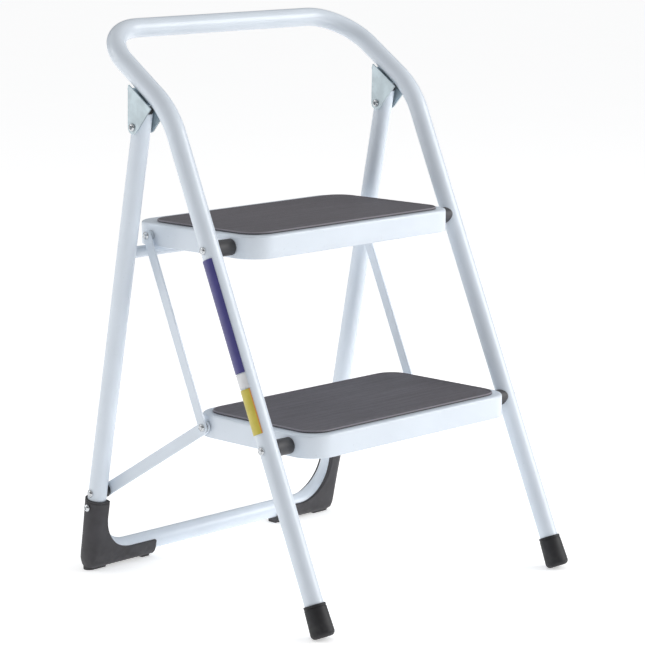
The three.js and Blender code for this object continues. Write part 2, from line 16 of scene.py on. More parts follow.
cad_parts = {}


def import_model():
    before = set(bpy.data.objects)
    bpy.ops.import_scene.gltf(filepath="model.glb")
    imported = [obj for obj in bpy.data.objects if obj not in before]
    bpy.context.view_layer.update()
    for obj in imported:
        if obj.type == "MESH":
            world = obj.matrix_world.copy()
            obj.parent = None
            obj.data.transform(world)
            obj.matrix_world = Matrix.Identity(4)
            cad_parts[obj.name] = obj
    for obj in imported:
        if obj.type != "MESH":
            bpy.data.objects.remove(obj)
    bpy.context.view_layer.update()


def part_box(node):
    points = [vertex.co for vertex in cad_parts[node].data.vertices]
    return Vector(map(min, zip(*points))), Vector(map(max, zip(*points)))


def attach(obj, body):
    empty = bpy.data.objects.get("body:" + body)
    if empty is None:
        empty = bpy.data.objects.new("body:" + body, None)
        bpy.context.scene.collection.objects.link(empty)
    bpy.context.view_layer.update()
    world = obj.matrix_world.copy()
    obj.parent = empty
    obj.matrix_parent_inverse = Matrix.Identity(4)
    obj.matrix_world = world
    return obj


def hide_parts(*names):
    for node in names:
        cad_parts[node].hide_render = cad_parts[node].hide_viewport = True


log = logging.getLogger("stool")
MM = 0.001
Array = np.ndarray
Colour = tuple[float, float, float]
ACROSS = np.array([1.0, 0.0, 0.0])
OTHER_SIDE = np.array([-1.0, 1.0, 1.0])
MERGE_DISTANCE = 1e-6
DUST = (0.32, 0.31, 0.30)


class Side(Enum):
    """The two sides of the stool, with the sign of X on each."""

    LEFT = -1
    RIGHT = 1

    @property
    def word(self) -> str:
        """The side's name as the frame's nodes end with it."""
        return self.name.lower()


class Step(Enum):
    """The two treads."""

    LOWER = "lower"
    UPPER = "upper"


# ---------------------------------------------------------------- surfaces


@dataclass
class Grid:
    """A surface on a grid of two parameters.

    Args:
        points: array (rows, columns, 3) in millimetres.
        closed_rows: whether the last row joins the first.
        closed_columns: whether the last column joins the first.
        field: optional number at each point that a finish can read as the attribute "field".
    """

    points: Array
    closed_rows: bool = False
    closed_columns: bool = True
    field: Array | None = None

    def mirrored(self, side: Side) -> "Grid":
        """The same surface on the side asked for, drawn first for the right."""
        flip = np.array([side.value, 1.0, 1.0])
        return Grid(self.points * flip, self.closed_rows, self.closed_columns, self.field)

    def faces(self, first: int) -> Array:
        """Corner numbers of the four-sided faces between neighbouring points.

        Args:
            first: number of the grid's first point in the mesh.

        Returns:
            Array (faces, 4).
        """
        rows, columns = self.points.shape[:2]
        number = first + np.arange(rows * columns).reshape(rows, columns)
        if self.closed_rows:
            number = np.vstack([number, number[:1]])
        if self.closed_columns:
            number = np.hstack([number, number[:, :1]])
        quads = [number[:-1, :-1], number[1:, :-1], number[1:, 1:], number[:-1, 1:]]
        return np.stack(quads, axis=-1).reshape(-1, 4)


def across(x: Array | float, side_point: Array) -> Array:
    """Points at x across the stool from (y, z) places in its side plane.

    Args:
        x: one number or an array that fits the places.
        side_point: array (..., 2) of (y, z).

    Returns:
        Array (..., 3).
    """
    place = np.asarray(side_point, float)
    return np.concatenate([np.broadcast_to(np.asarray(x, float)[..., None], place.shape[:-1] + (1,)),
                           place], axis=-1)


def unit(vector: Array) -> Array:
    """The vectors at length one."""
    return vector / np.linalg.norm(vector, axis=-1, keepdims=True)


def bent_route(corners: Sequence[Array], radii: Sequence[float],
               step: float = 2.5) -> tuple[Array, Array]:
    """Centre line of a bent tube.

    Straight runs join the corners, and each corner is replaced by the arc of its radius that touches
    both runs: centre + radius * (cos(a) * outwards + sin(a) * along).

    Args:
        corners: points (3,) from one end to the other.
        radii: bend radius at each inner corner.
        step: degrees between the stations of a bend.

    Returns:
        Centres (n, 3) and unit tangents (n, 3).
    """
    centres, tangents = [corners[0][None]], [unit(corners[1] - corners[0])[None]]
    for before, corner, after, radius in zip(corners, corners[1:], corners[2:], radii):
        into, out = unit(corner - before), unit(after - corner)
        turn = math.acos(float(np.clip(into @ out, -1, 1)))
        start = corner - into * radius * math.tan(turn / 2)
        inwards = unit(out - into * (out @ into))
        angle = np.linspace(0, turn, max(4, round(math.degrees(turn) / step)) + 1)[:, None]
        centres.append(start + radius * ((1 - np.cos(angle)) * inwards + np.sin(angle) * into))
        tangents.append(np.cos(angle) * into + np.sin(angle) * inwards)
    centres.append(corners[-1][None])
    tangents.append(unit(corners[-1] - corners[-2])[None])
    return np.concatenate(centres), np.concatenate(tangents)


def round_bar(route: tuple[Array, Array], reference: Array, radius: float, sides: int = 48) -> Grid:
    """Round bar along a route, with closed, slightly rounded ends.

    Each ring is centre + radius * (cos(a) * n + sin(a) * b), where n is the reference made square to
    the tangent and b is square to both. The ends shrink to a point through a small quarter round.

    Args:
        route: centres and tangents.
        reference: direction that no tangent is parallel to.
        radius: of the bar.
        sides: points round it.

    Returns:
        Closed grid.
    """
    centres, tangents = route
    easing, reach = np.array([0.0, 0.0, 0.3, 1.0]), np.array([0.0, 0.88, 0.97, 1.0])
    ends = [centres[:1] + tangents[:1] * easing[:3, None], centres[1:-1],
            centres[-1:] - tangents[-1:] * easing[:3][::-1, None]]
    centres = np.concatenate(ends)
    tangents = np.concatenate([np.repeat(tangents[:1], 3, 0), tangents[1:-1],
                               np.repeat(tangents[-1:], 3, 0)])
    size = np.full(len(centres), radius)
    size[:3], size[-3:] = radius * reach[:3], radius * reach[:3][::-1]
    normal = unit(reference - tangents * (tangents @ reference)[:, None])
    binormal = np.cross(tangents, normal)
    angle = np.linspace(0, 2 * np.pi, sides, endpoint=False)[None, :, None]
    ring = np.cos(angle) * normal[:, None] + np.sin(angle) * binormal[:, None]
    return Grid(centres[:, None] + size[:, None, None] * ring)


def turned(profile: Sequence[tuple[float, float]], start: Array, axis: Array, sides: int = 40) -> Grid:
    """Turned piece: a profile of (radius, distance) carried round an axis.

    The point at angle a is start + distance * axis + radius * (cos(a) * n + sin(a) * b).

    Args:
        profile: from one end to the other, or a closed loop for a ring.
        start: point on the axis.
        axis: its direction.
        sides: points round it.

    Returns:
        Grid whose rows follow the profile.
    """
    rows = np.asarray(profile, float)
    axis = unit(np.asarray(axis, float))
    normal = unit(np.cross(axis, np.where(np.abs(axis) < 0.8, 1.0, 0.0) + [0.1, 0.2, 0.3]))
    binormal = np.cross(axis, normal)
    angle = np.linspace(0, 2 * np.pi, sides, endpoint=False)[None, :, None]
    ring = np.cos(angle) * normal + np.sin(angle) * binormal
    return Grid(start + rows[:, 1, None, None] * axis + rows[:, 0, None, None] * ring)


def quarter(radius: float, centre: tuple[float, float], first: float, last: float,
            count: int = 5) -> list[tuple[float, float]]:
    """Points of an arc in a profile.

    Args:
        radius: of the arc.
        centre: (radius, distance) of its centre.
        first: starting angle in degrees.
        last: ending angle in degrees.
        count: of points.

    Returns:
        List of (radius, distance).
    """
    angle = np.radians(np.linspace(first, last, count))
    return list(zip(centre[0] + radius * np.cos(angle), centre[1] + radius * np.sin(angle)))


@dataclass
class Outline:
    """The outline round some circles, like a belt round pulleys, turning left.

    Args:
        circles: (first coordinate, second coordinate, radius) of each.
        points: on each arc.
        spine: whether a face closes on the circles' centres instead of their middle.
        support: how far inside a face's edge its extra row lies.
    """

    circles: Sequence[tuple[float, float, float]]
    points: int = 13
    spine: bool = False
    support: float = 0.05
    centres: Array = field(init=False)
    radii: Array = field(init=False)
    directions: Array = field(init=False)

    def __post_init__(self) -> None:
        """Works out each arc from the straight runs that touch neighbouring circles.

        A run from circle i to circle j leaves at the angle whose outward normal n has
        n . (cj - ci) = ri - rj.
        """
        data = np.asarray(self.circles, float)
        run = np.roll(data, -1, 0) - data
        length = np.hypot(run[:, 0], run[:, 1])
        leave = np.arctan2(run[:, 1], run[:, 0]) - np.pi / 2 + np.arcsin(-run[:, 2] / length)
        arrive = np.roll(leave, 1)
        tiny = 1e-9
        swing = np.mod(leave - arrive + tiny, 2 * np.pi) - tiny
        angle = arrive[:, None] + swing[:, None] * np.linspace(0, 1, self.points)
        self.directions = np.stack([np.cos(angle), np.sin(angle)], -1).reshape(-1, 2)
        self.centres = np.repeat(data[:, :2], self.points, 0)
        self.radii = np.repeat(data[:, 2], self.points)

    @property
    def middle(self) -> Array:
        """The mean of the circles' centres."""
        return np.asarray(self.circles, float)[:, :2].mean(0)

    def carry(self, rows: Sequence[tuple[float, float]]) -> tuple[Array, Array]:
        """Carries a profile of (inset, height) round the outline and closes both ends in the middle.

        A point is centre + (radius - inset) * direction, at that height. A row just inside each end of
        the profile keeps the flat face's shading flat.

        Args:
            rows: from one face to the other.

        Returns:
            In-plane places (n, columns, 2) and heights (n,).
        """
        (first, low), (last, high) = rows[0], rows[-1]
        profile = np.asarray([(first + self.support, low), *rows, (last + self.support, high)], float)
        reach = self.radii[None] - profile[:, 0, None]
        places = self.centres[None] + reach[..., None] * self.directions[None]
        cap = self.centres[None] if self.spine else np.broadcast_to(self.middle, places[:1].shape)
        heights = np.concatenate([profile[:1, 1], profile[:, 1], profile[-1:, 1]])
        return np.concatenate([cap, places, cap]), heights


def side_plate(outline: Outline, inner: float, outer: float, ease: float = 0.4) -> Grid:
    """Flat plate in the side plane, with its edges eased by a quarter round.

    Args:
        outline: in (y, z).
        inner: x of its inside face.
        outer: x of its outside face.
        ease: radius of the edges.

    Returns:
        Closed grid.
    """
    angle = np.radians(np.linspace(0, 90, 4))
    inset, rise = ease * (1 - np.sin(angle)), ease * (1 - np.cos(angle))
    rows = [*zip(inset, inner + rise), *zip(inset[::-1], outer - rise[::-1])]
    places, heights = outline.carry(rows)
    return Grid(across(np.broadcast_to(heights[:, None], places.shape[:2]), places))


def rounded_rectangle(low: tuple[float, float], high: tuple[float, float], radius: float) -> Outline:
    """Outline of a rectangle with rounded corners, from its lowest and highest corner."""
    (a, b), (c, d), r = low, high, radius
    return Outline([(a + r, b + r, r), (c - r, b + r, r), (c - r, d - r, r), (a + r, d - r, r)])


# ---------------------------------------------------------------- finishes


class Signal:
    """A shader socket that Python arithmetic can act on, adding a Math node each time."""

    def __init__(self, bench: "Bench", socket: bpy.types.NodeSocket) -> None:
        """Keeps the socket and the bench that its nodes are put on."""
        self.bench, self.socket = bench, socket

    def math(self, operation: str, *others: Any, backwards: bool = False) -> "Signal":
        """Adds a Math node.

        Args:
            operation: its name.
            others: the values or signals it takes besides this one.
            backwards: whether this signal comes last.

        Returns:
            The node's result.
        """
        terms = [self, *others]
        terms = terms[::-1] if backwards else terms
        made = self.bench.node("ShaderNodeMath", {"operation": operation}, dict(enumerate(terms)))
        return made["Value"]

    def __add__(self, other: Any) -> "Signal":
        """Sum."""
        return self.math("ADD", other)

    def __mul__(self, other: Any) -> "Signal":
        """Product."""
        return self.math("MULTIPLY", other)

    def __rsub__(self, other: Any) -> "Signal":
        """Difference from a number."""
        return self.math("SUBTRACT", other, backwards=True)

    def __pow__(self, other: Any) -> "Signal":
        """Power."""
        return self.math("POWER", other)

    __radd__ = __add__
    __rmul__ = __mul__

    def ramp(self, low: float, high: float) -> "Signal":
        """Zero below low, one above high and smooth between.

        Args:
            low: where it starts to rise.
            high: where it is one.

        Returns:
            The result.
        """
        settings = {"interpolation_type": "SMOOTHSTEP"}
        sockets = {"Value": self, 1: low, 2: high}
        return self.bench.node("ShaderNodeMapRange", settings, sockets)["Result"]


class Sockets:
    """A node's results by name."""

    def __init__(self, bench: "Bench", node: bpy.types.Node) -> None:
        """Keeps the node."""
        self.bench, self.node = bench, node

    def __getitem__(self, name: str | int) -> Signal:
        """The result of that name or number."""
        return Signal(self.bench, self.node.outputs[name])


class Bench:
    """The node tree of one material and the ways to add to it."""

    def __init__(self, name: str) -> None:
        """Starts a material with an empty shader.

        Args:
            name: of the material.
        """
        self.material = bpy.data.materials.new(name)
        self.material.use_nodes = True
        self.tree = self.material.node_tree
        self.shader = self.tree.nodes["Principled BSDF"]

    def put(self, socket: bpy.types.NodeSocket, value: Any) -> None:
        """Sets a socket to a value, or links a signal to it.

        Args:
            socket: the input.
            value: or the signal.
        """
        if isinstance(value, Signal):
            self.tree.links.new(value.socket, socket)
        else:
            socket.default_value = value

    def node(self, kind: str, settings: dict[str, Any], sockets: dict[str | int, Any]) -> Sockets:
        """Adds a node.

        Args:
            kind: its type.
            settings: its own properties, set first.
            sockets: values or signals for its inputs, by name or number.

        Returns:
            Its results.
        """
        made = self.tree.nodes.new(kind)
        for key, value in settings.items():
            setattr(made, key, value)
        for key, value in sockets.items():
            self.put(made.inputs[key], value)
        return Sockets(self, made)

    def places(self) -> Signal:
        """Object coordinates in metres."""
        return self.node("ShaderNodeTexCoord", {}, {})["Object"]

    def noise(self, scale: float, detail: float = 2.0,
              stretch: tuple[float, float, float] = (1, 1, 1)) -> Signal:
        """Soft noise from 0 to 1.

        Args:
            scale: features to a metre.
            detail: octaves.
            stretch: scale of each axis.

        Returns:
            The noise.
        """
        place = self.node("ShaderNodeVectorMath", {"operation": "MULTIPLY"},
                          {0: self.places(), 1: stretch})["Vector"]
        sockets = {"Vector": place, "Scale": scale, "Detail": detail}
        return self.node("ShaderNodeTexNoise", {}, sockets)["Fac"]

    def coordinate(self, axis: str) -> Signal:
        """One object coordinate in metres."""
        return self.node("ShaderNodeSeparateXYZ", {}, {0: self.places()})[axis]

    def attribute(self) -> Signal:
        """The number that the piece's mesh carries at each point."""
        return self.node("ShaderNodeAttribute", {"attribute_name": "field"}, {})["Fac"]

    def mix(self, factor: Any, first: Any, second: Any) -> Signal:
        """Colour between two colours.

        Args:
            factor: 0 for the first, 1 for the second.
            first: colour or signal.
            second: colour or signal.

        Returns:
            The colour.
        """
        return self.node("ShaderNodeMix", {"data_type": "RGBA"}, {0: factor, 6: first, 7: second})[2]

    def bump(self, height: Any, distance: float, strength: float = 1.0, under: Any = None) -> Signal:
        """Small relief.

        Args:
            height: from 0 to 1.
            distance: in metres that 1 stands for.
            strength: of the effect.
            under: relief that this one lies on.

        Returns:
            The normal.
        """
        sockets = {"Strength": strength, "Distance": distance, "Height": height}
        sockets |= {"Normal": under} if under else {}
        return self.node("ShaderNodeBump", {}, sockets)["Normal"]

    def finish(self, **sockets: Any) -> bpy.types.Material:
        """Sets the shader's sockets and gives the material.

        Args:
            sockets: values or signals, with underscores for the spaces of a socket's name.

        Returns:
            The material.
        """
        for key, value in sockets.items():
            self.put(self.shader.inputs[key.replace("_", " ")], value)
        return self.material


def rgba(colour: Sequence[float], factor: float = 1.0) -> tuple[float, float, float, float]:
    """A colour with its channels times a factor, and full alpha."""
    return (*(min(1.0, channel * factor) for channel in colour), 1.0)


@dataclass(frozen=True)
class PowderCoat:
    """Satin pale blue-white powder coat with a fine orange peel."""

    slot: str = "paint"
    colour: Colour = (0.73, 0.795, 0.87)
    roughness: float = 0.34

    def material(self) -> bpy.types.Material:
        """Uneven film thickness shifts colour and gloss a little, over a fine relief.

        Returns:
            The material.
        """
        bench = Bench("powder_coat")
        cloud = bench.noise(14, 3)
        grain = bench.noise(900, 2)
        colour = bench.mix(cloud.ramp(0.3, 0.7), rgba(self.colour, 0.975), rgba(self.colour, 1.015))
        speck = bench.noise(260, 1).ramp(0.74, 0.8) * 0.25
        colour = bench.mix(speck, colour, rgba(self.colour, 0.72))
        return bench.finish(
            Base_Color=colour, Roughness=self.roughness + 0.06 * bench.noise(90, 2),
            Normal=bench.bump(grain, 0.00006, 0.35), Coat_Weight=0.25, Coat_Roughness=0.12)


@dataclass(frozen=True)
class PlatedMetal:
    """Bare or plated metal: bright rivets, or duller zinc sheet with a faint grain."""

    name: str
    slot: str
    colour: Colour
    roughness: float
    metallic: float

    def material(self) -> bpy.types.Material:
        """A stretched grain and soft clouds vary the gloss and the tint.

        Returns:
            The material.
        """
        bench = Bench(self.name)
        grain = bench.noise(500, 3, (1.0, 1.0, 0.15))
        cloud = bench.noise(60, 3)
        colour = bench.mix(cloud.ramp(0.35, 0.7), rgba(self.colour, 0.86), rgba(self.colour, 1.04))
        return bench.finish(
            Base_Color=colour, Roughness=self.roughness * (0.75 + 0.5 * grain),
            Metallic=self.metallic, Normal=bench.bump(grain, 0.00004, 0.3))


@dataclass(frozen=True)
class Moulding:
    """Moulded rubber or plastic with a fine spark texture and a little dust low down."""

    name: str
    slot: str
    colour: Colour
    roughness: float
    dust: float = 0.0

    def material(self) -> bpy.types.Material:
        """Fine grain in relief, soft tint clouds, and dust that fades over the first centimetres.

        Returns:
            The material.
        """
        bench = Bench(self.name)
        grain = bench.noise(1100, 2)
        cloud = bench.noise(45, 3)
        colour = bench.mix(cloud.ramp(0.3, 0.75), rgba(self.colour, 0.85), rgba(self.colour, 1.2))
        if self.dust:
            low = (1 - bench.coordinate("Z").ramp(0.0, 0.05)) * bench.noise(120, 4).ramp(0.35, 0.75)
            colour = bench.mix(low * self.dust, colour, rgba(DUST))
        return bench.finish(
            Base_Color=colour, Roughness=self.roughness + 0.12 * bench.noise(200, 2),
            Normal=bench.bump(grain, 0.00008, 0.4))


@dataclass(frozen=True)
class RibbedRubber:
    """Mat rubber with narrow ribs across the stool inside a plain raised rim, with painted shade on the
    rim's wall and painted highlights on its top edge and on the rib crests.
    """

    slot: str = "mat_rubber"
    colour: Colour = (0.098, 0.092, 0.103)
    pitch: float = 3.0

    def material(self) -> bpy.types.Material:
        """The ribs are a sine of Y and their crests are painted lighter as a painted highlight; the
        mesh's own field is one inside the rim, and where it is low the rim's wall gets painted shade and
        where it is middling its top edge gets a painted highlight.

        Returns:
            The material.
        """
        bench = Bench("ribbed_mat")
        ribs = (bench.coordinate("Y") * (2 * math.pi / (self.pitch * MM))).math("SINE") * 0.5 + 0.5
        inside = bench.attribute()
        streaks = bench.noise(40, 4, (0.25, 8.0, 1.0))
        colour = bench.mix(streaks.ramp(0.3, 0.7), rgba(self.colour, 0.82), rgba(self.colour, 1.22))
        # Rib crests painted lighter: a painted highlight.
        colour = bench.mix(ribs * inside * 0.55, colour, rgba(self.colour, 1.75))
        # The mat's side wall painted dark where the field is low: painted shade.
        colour = bench.mix((1 - inside) ** 2.0, colour, rgba(self.colour, 0.42))
        # Thin light line over the rim's rounded top edge where the field is middling: a painted
        # highlight.
        colour = bench.mix((1 - inside) * inside * 4.0, colour, rgba(self.colour, 2.6))
        grain = bench.bump(bench.noise(900, 2), 0.00006, 0.4)
        return bench.finish(
            Base_Color=colour, Roughness=0.56 + 0.14 * bench.noise(150, 2),
            Normal=bench.bump(ribs * inside, 0.0005, 0.55, grain))


@dataclass(frozen=True)
class Film:
    """Printed film without any lettering, with an optional border line at one side."""

    name: str
    slot: str
    colour: Colour
    border: Colour | None = None

    def material(self) -> bpy.types.Material:
        """Faint clouds in the ink, and a border where the field across the strip is small.

        Returns:
            The material.
        """
        bench = Bench(self.name)
        cloud = bench.noise(80, 3)
        colour = bench.mix(cloud.ramp(0.3, 0.7), rgba(self.colour, 0.93), rgba(self.colour, 1.05))
        if self.border:
            colour = bench.mix(1 - bench.attribute().ramp(0.07, 0.085), colour, rgba(self.border))
        return bench.finish(
            Base_Color=colour, Roughness=0.38 + 0.1 * bench.noise(300, 2),
            Normal=bench.bump(bench.noise(220, 2), 0.00003, 0.3), Coat_Weight=0.3, Coat_Roughness=0.2)


@dataclass(frozen=True)
class StudioPaper:
    """Pale paper that the stool stands on."""

    colour: Colour = (0.93, 0.93, 0.93)
    glow: float = 0.53

    def material(self) -> bpy.types.Material:
        """Plain, with hardly any variation.

        Returns:
            The material.
        """
        bench = Bench("studio_paper")
        colour = bench.mix(bench.noise(3, 2), rgba(self.colour, 0.99), rgba(self.colour, 1.01))
        return bench.finish(Base_Color=colour, Roughness=0.9, Emission_Color=rgba(self.colour),
                            Emission_Strength=self.glow)


class Finishes:
    """All the stool's finishes, each made a material once."""

    paint = PowderCoat()
    zinc = PlatedMetal("zinc_plate", "zinc", (0.56, 0.65, 0.69), 0.4, 0.6)
    steel = PlatedMetal("bright_rivet", "bright_steel", (0.62, 0.64, 0.66), 0.24, 1.0)
    tip = Moulding("tip_rubber", "tip_rubber", (0.007, 0.007, 0.009), 0.5, 0.06)
    spacer = Moulding("spacer_moulding", "boot_plastic", (0.05, 0.05, 0.055), 0.45)
    boot = Moulding("boot_moulding", "boot_plastic", (0.038, 0.036, 0.041), 0.5, 0.06)
    black = Moulding("black_moulding", "black_plastic", (0.02, 0.02, 0.022), 0.42)
    mat = RibbedRubber()
    blue = Film("blue_film", "blue_film", (0.06, 0.055, 0.22))
    white = Film("white_film", "white_film", (0.75, 0.76, 0.78))
    yellow = Film("yellow_film", "yellow_film", (0.58, 0.49, 0.07), (0.72, 0.30, 0.07))

    def __init__(self) -> None:
        """Starts with no material made."""
        self.made: dict[Any, bpy.types.Material] = {}

    def of(self, finish: Any) -> bpy.types.Material:
        """The finish's material, made the first time it is asked for.

        Args:
            finish: one of the finishes.

        Returns:
            The material.
        """
        if finish not in self.made:
            self.made[finish] = finish.material()
        return self.made[finish]


# ---------------------------------------------------------------- putting pieces in place


@dataclass
class Workshop:
    """Writes meshes, dresses them and puts them on the frame's bodies."""

    finishes: Finishes = field(default_factory=Finishes)

    def mesh(self, name: str, grids: Sequence[Grid], sharp: float) -> bpy.types.Mesh:
        """One mesh from closed grids: coinciding points merged and faces turned outwards.

        Args:
            name: of the mesh.
            grids: its surfaces.
            sharp: degrees between faces above which an edge stays crisp.

        Returns:
            The mesh, in metres.
        """
        sizes = [grid.points.shape[0] * grid.points.shape[1] for grid in grids]
        starts = np.cumsum([0, *sizes[:-1]])
        points = np.concatenate([grid.points.reshape(-1, 3) for grid in grids]) * MM
        faces = np.concatenate([grid.faces(int(start)) for grid, start in zip(grids, starts)])
        made = bpy.data.meshes.new(name)
        made.vertices.add(len(points))
        made.vertices.foreach_set("co", points.ravel())
        made.loops.add(faces.size)
        made.loops.foreach_set("vertex_index", faces.ravel())
        made.polygons.add(len(faces))
        made.polygons.foreach_set("loop_start", np.arange(0, faces.size, 4))
        made.update(calc_edges=True)
        if any(grid.field is not None for grid in grids):
            values = np.concatenate([
                np.zeros(size) if grid.field is None else grid.field.ravel()
                for grid, size in zip(grids, sizes)])
            made.attributes.new("field", "FLOAT", "POINT").data.foreach_set("value", values)
        work = bmesh.new()
        work.from_mesh(made)
        bmesh.ops.remove_doubles(work, verts=work.verts, dist=MERGE_DISTANCE)
        bmesh.ops.recalc_face_normals(work, faces=work.faces)
        work.to_mesh(made)
        work.free()
        made.shade_smooth()
        made.set_sharp_from_angle(angle=math.radians(sharp))
        return made

    def place(self, name: str, grids: Grid | Sequence[Grid], finish: Any, body: str,
              nodes: Sequence[str] = (), sharp: float = 38.0) -> bpy.types.Object:
        """Makes a piece and puts it on its body.

        Args:
            name: of the piece.
            grids: its surfaces.
            finish: what it is dressed with.
            body: that it moves with.
            nodes: of the frame that it stands for.
            sharp: degrees above which an edge stays crisp.

        Returns:
            The piece.
        """
        surfaces = [grids] if isinstance(grids, Grid) else list(grids)
        piece = bpy.data.objects.new(name, self.mesh(name, surfaces, sharp))
        bpy.context.scene.collection.objects.link(piece)
        piece.data.materials.append(self.finishes.of(finish))
        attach(piece, body)
        if nodes:
            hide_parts(*nodes)
        log.info("%s: %d faces on %s", name, len(piece.data.polygons), body)
        return piece

    def pair(self, name: str, grids: Sequence[Grid], finish: Any, body: str, node: str | None) -> None:
        """Places the same surfaces on both sides.

        Args:
            name: of the pieces, before the side.
            grids: drawn for the right side.
            finish: what they are dressed with.
            body: that they move with.
            node: that they stand for, before the side, if any.
        """
        for side in Side:
            nodes = [f"{node}_{side.word}"] if node else []
            surfaces = [grid.mirrored(side) for grid in grids]
            self.place(f"{name}_{side.word}", surfaces, finish, body, nodes)


@dataclass(frozen=True)
class Plan:
    """Places and sizes that several sub-assemblies share, with side-plane places as (y, z)."""

    lower_pivot: Array
    upper_pivot: Array
    lower_rivet: Array
    upper_rivet: Array
    leg_rivet: Array
    hinge: Array
    gap: float = 0.3
    half_track: float = 217.5
    tube: float = 12.5
    shank: float = 3.0
    head: float = 5.0
    head_height: float = 2.6
    spacer_length: float = 21.5
    sheet: float = 1.5
    link: float = 3.0
    washer: float = 0.9
    rear_corner: float = 60.0
    bar_height: float = 21.5
    saddle_wall: float = 1.8
    skirt_below: float = 14.0
    pivot_washer: float = 7.0

    @classmethod
    def measured(cls) -> "Plan":
        """Reads the pivots from the frame's rivets.

        Returns:
            The plan.
        """
        def middle(node: str) -> Array:
            """Middle of a node in the side plane."""
            low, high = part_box(node)
            return (np.array(low) + np.array(high))[1:] / (2 * MM)
        return cls(*(middle(f"{name}_right") for name in (
            "lower_pivot_rivet", "upper_pivot_rivet", "lower_link_rivet", "upper_link_rivet",
            "leg_link_rivet", "hinge_rivet")))

    @property
    def up_front(self) -> Array:
        """Direction up a front leg."""
        return unit(self.upper_pivot - self.lower_pivot)

    @property
    def up_rear(self) -> Array:
        """Direction up a rear leg."""
        return unit(self.hinge - self.leg_rivet)

    @property
    def behind_rear(self) -> Array:
        """Direction square to the rear frame's plane, backwards."""
        return np.array([self.up_rear[1], -self.up_rear[0]])

    def front_leg(self, height: float) -> Array:
        """Place on a front leg's axis at a height."""
        return self.lower_pivot + self.up_front * (height - self.lower_pivot[1]) / self.up_front[1]

    def rear_leg(self, height: float) -> Array:
        """Place on a rear leg's axis at a height."""
        return self.leg_rivet + self.up_rear * (height - self.leg_rivet[1]) / self.up_rear[1]

    @property
    def skirt(self) -> float:
        """X of a tread's outside."""
        return self.half_track - self.tube - self.spacer_length

    @property
    def lower_link(self) -> tuple[float, float]:
        """X of the lower link's faces."""
        start = self.skirt + self.washer + 2 * self.gap
        return start, start + self.link

    @property
    def leg_seat(self) -> float:
        """X of the flat end of the spacer between a lower link and a rear leg."""
        return self.half_track - self.tube - self.gap - self.saddle_wall

    @property
    def link_end(self) -> tuple[float, float]:
        """X of the lower link's faces beside the rear leg."""
        return self.leg_seat - self.gap - self.link, self.leg_seat - self.gap

    @property
    def upper_link(self) -> tuple[float, float]:
        """X of the upper link's faces."""
        start = self.lower_link[1] + self.washer + 2 * self.gap
        return start, start + self.link

    @property
    def leg_outside(self) -> float:
        """X of a leg's outside."""
        return self.half_track + self.tube

    def domed(self, start: float, ring: bool = True) -> list[tuple[float, float]]:
        """Profile of a domed rivet head, from the shank to the axis, with a shallow ring pressed in it.

        Args:
            start: distance of its seat.
            ring: whether it has the ring.

        Returns:
            List of (radius, distance).
        """
        r, h = self.head, self.head_height
        dome = [(self.shank, start), (r - 0.2, start), (r, start + 0.2), (r, start + 0.55),
                (0.93 * r, start + 0.42 * h), (0.8 * r, start + 0.68 * h)]
        if ring:
            dome += [(0.66 * r, start + 0.8 * h), (0.6 * r, start + 0.7 * h),
                     (0.52 * r, start + 0.7 * h)]
        return [*dome, (0.46 * r, start + 0.93 * h), (0.25 * r, start + 0.985 * h), (0, start + h)]

    def rivet(self, tail: float, head: float, side_point: Array) -> Grid:
        """Rivet across the stool, drawn for the right side.

        Args:
            tail: x of the tail's seat.
            head: x of the head's seat.
            side_point: its axis.

        Returns:
            Closed grid.
        """
        r = self.head - 0.5
        profile = [(0, tail - 2), (r - 0.7, tail - 2), (r, tail - 1.4), (r, tail), (self.shank, tail)]
        return turned(profile + self.domed(head), across(0.0, side_point), ACROSS)

    def ring(self, outer: float, start: float, end: float, side_point: Array) -> Grid:
        """Washer or sleeve across the stool, drawn for the right side.

        Args:
            outer: radius.
            start: x of one face.
            end: x of the other.
            side_point: its axis.

        Returns:
            Closed grid.
        """
        inner, ease = self.shank + self.gap, 0.15
        profile = [(inner, start), (outer - ease, start), (outer, start + ease), (outer, end - ease),
                   (outer - ease, end), (inner, end)]
        made = turned(profile, across(0.0, side_point), ACROSS)
        made.closed_rows = True
        return made

    def saddle(self, radius: float, start: float, side_point: Array, leg: Array, hollow: float) -> Grid:
        """Spacer whose outer end is hollowed to sit on a leg, drawn for the right side.

        A point of the end at an offset d across the leg's axis is at
        x = half track - sqrt((tube + gap)^2 - d^2).

        Args:
            radius: of the spacer.
            start: x of its flat end.
            side_point: its axis.
            leg: direction of the leg.
            hollow: radius of the bore.

        Returns:
            Closed grid.
        """
        ease = 0.6
        rows = np.array([(hollow, 0), (radius - ease, 0), (radius - 0.3 * ease, 0.3 * ease),
                         (radius, ease), (radius, 1), (hollow, 1)], float)
        angle = np.linspace(0, 2 * np.pi, 48, endpoint=False)
        circle = np.stack([np.cos(angle), np.sin(angle)], -1)
        square = np.array([leg[1], -leg[0]])
        offset = rows[:, 0, None] * (circle @ square)[None]
        end = self.half_track - np.sqrt((self.tube + self.gap) ** 2 - offset ** 2)
        x = np.where(rows[:, 1, None] == 1, end, start + rows[:, 1, None])
        places = side_point + rows[:, 0, None, None] * circle[None]
        return Grid(across(x, places), closed_rows=True)


# ---------------------------------------------------------------- sub-assemblies


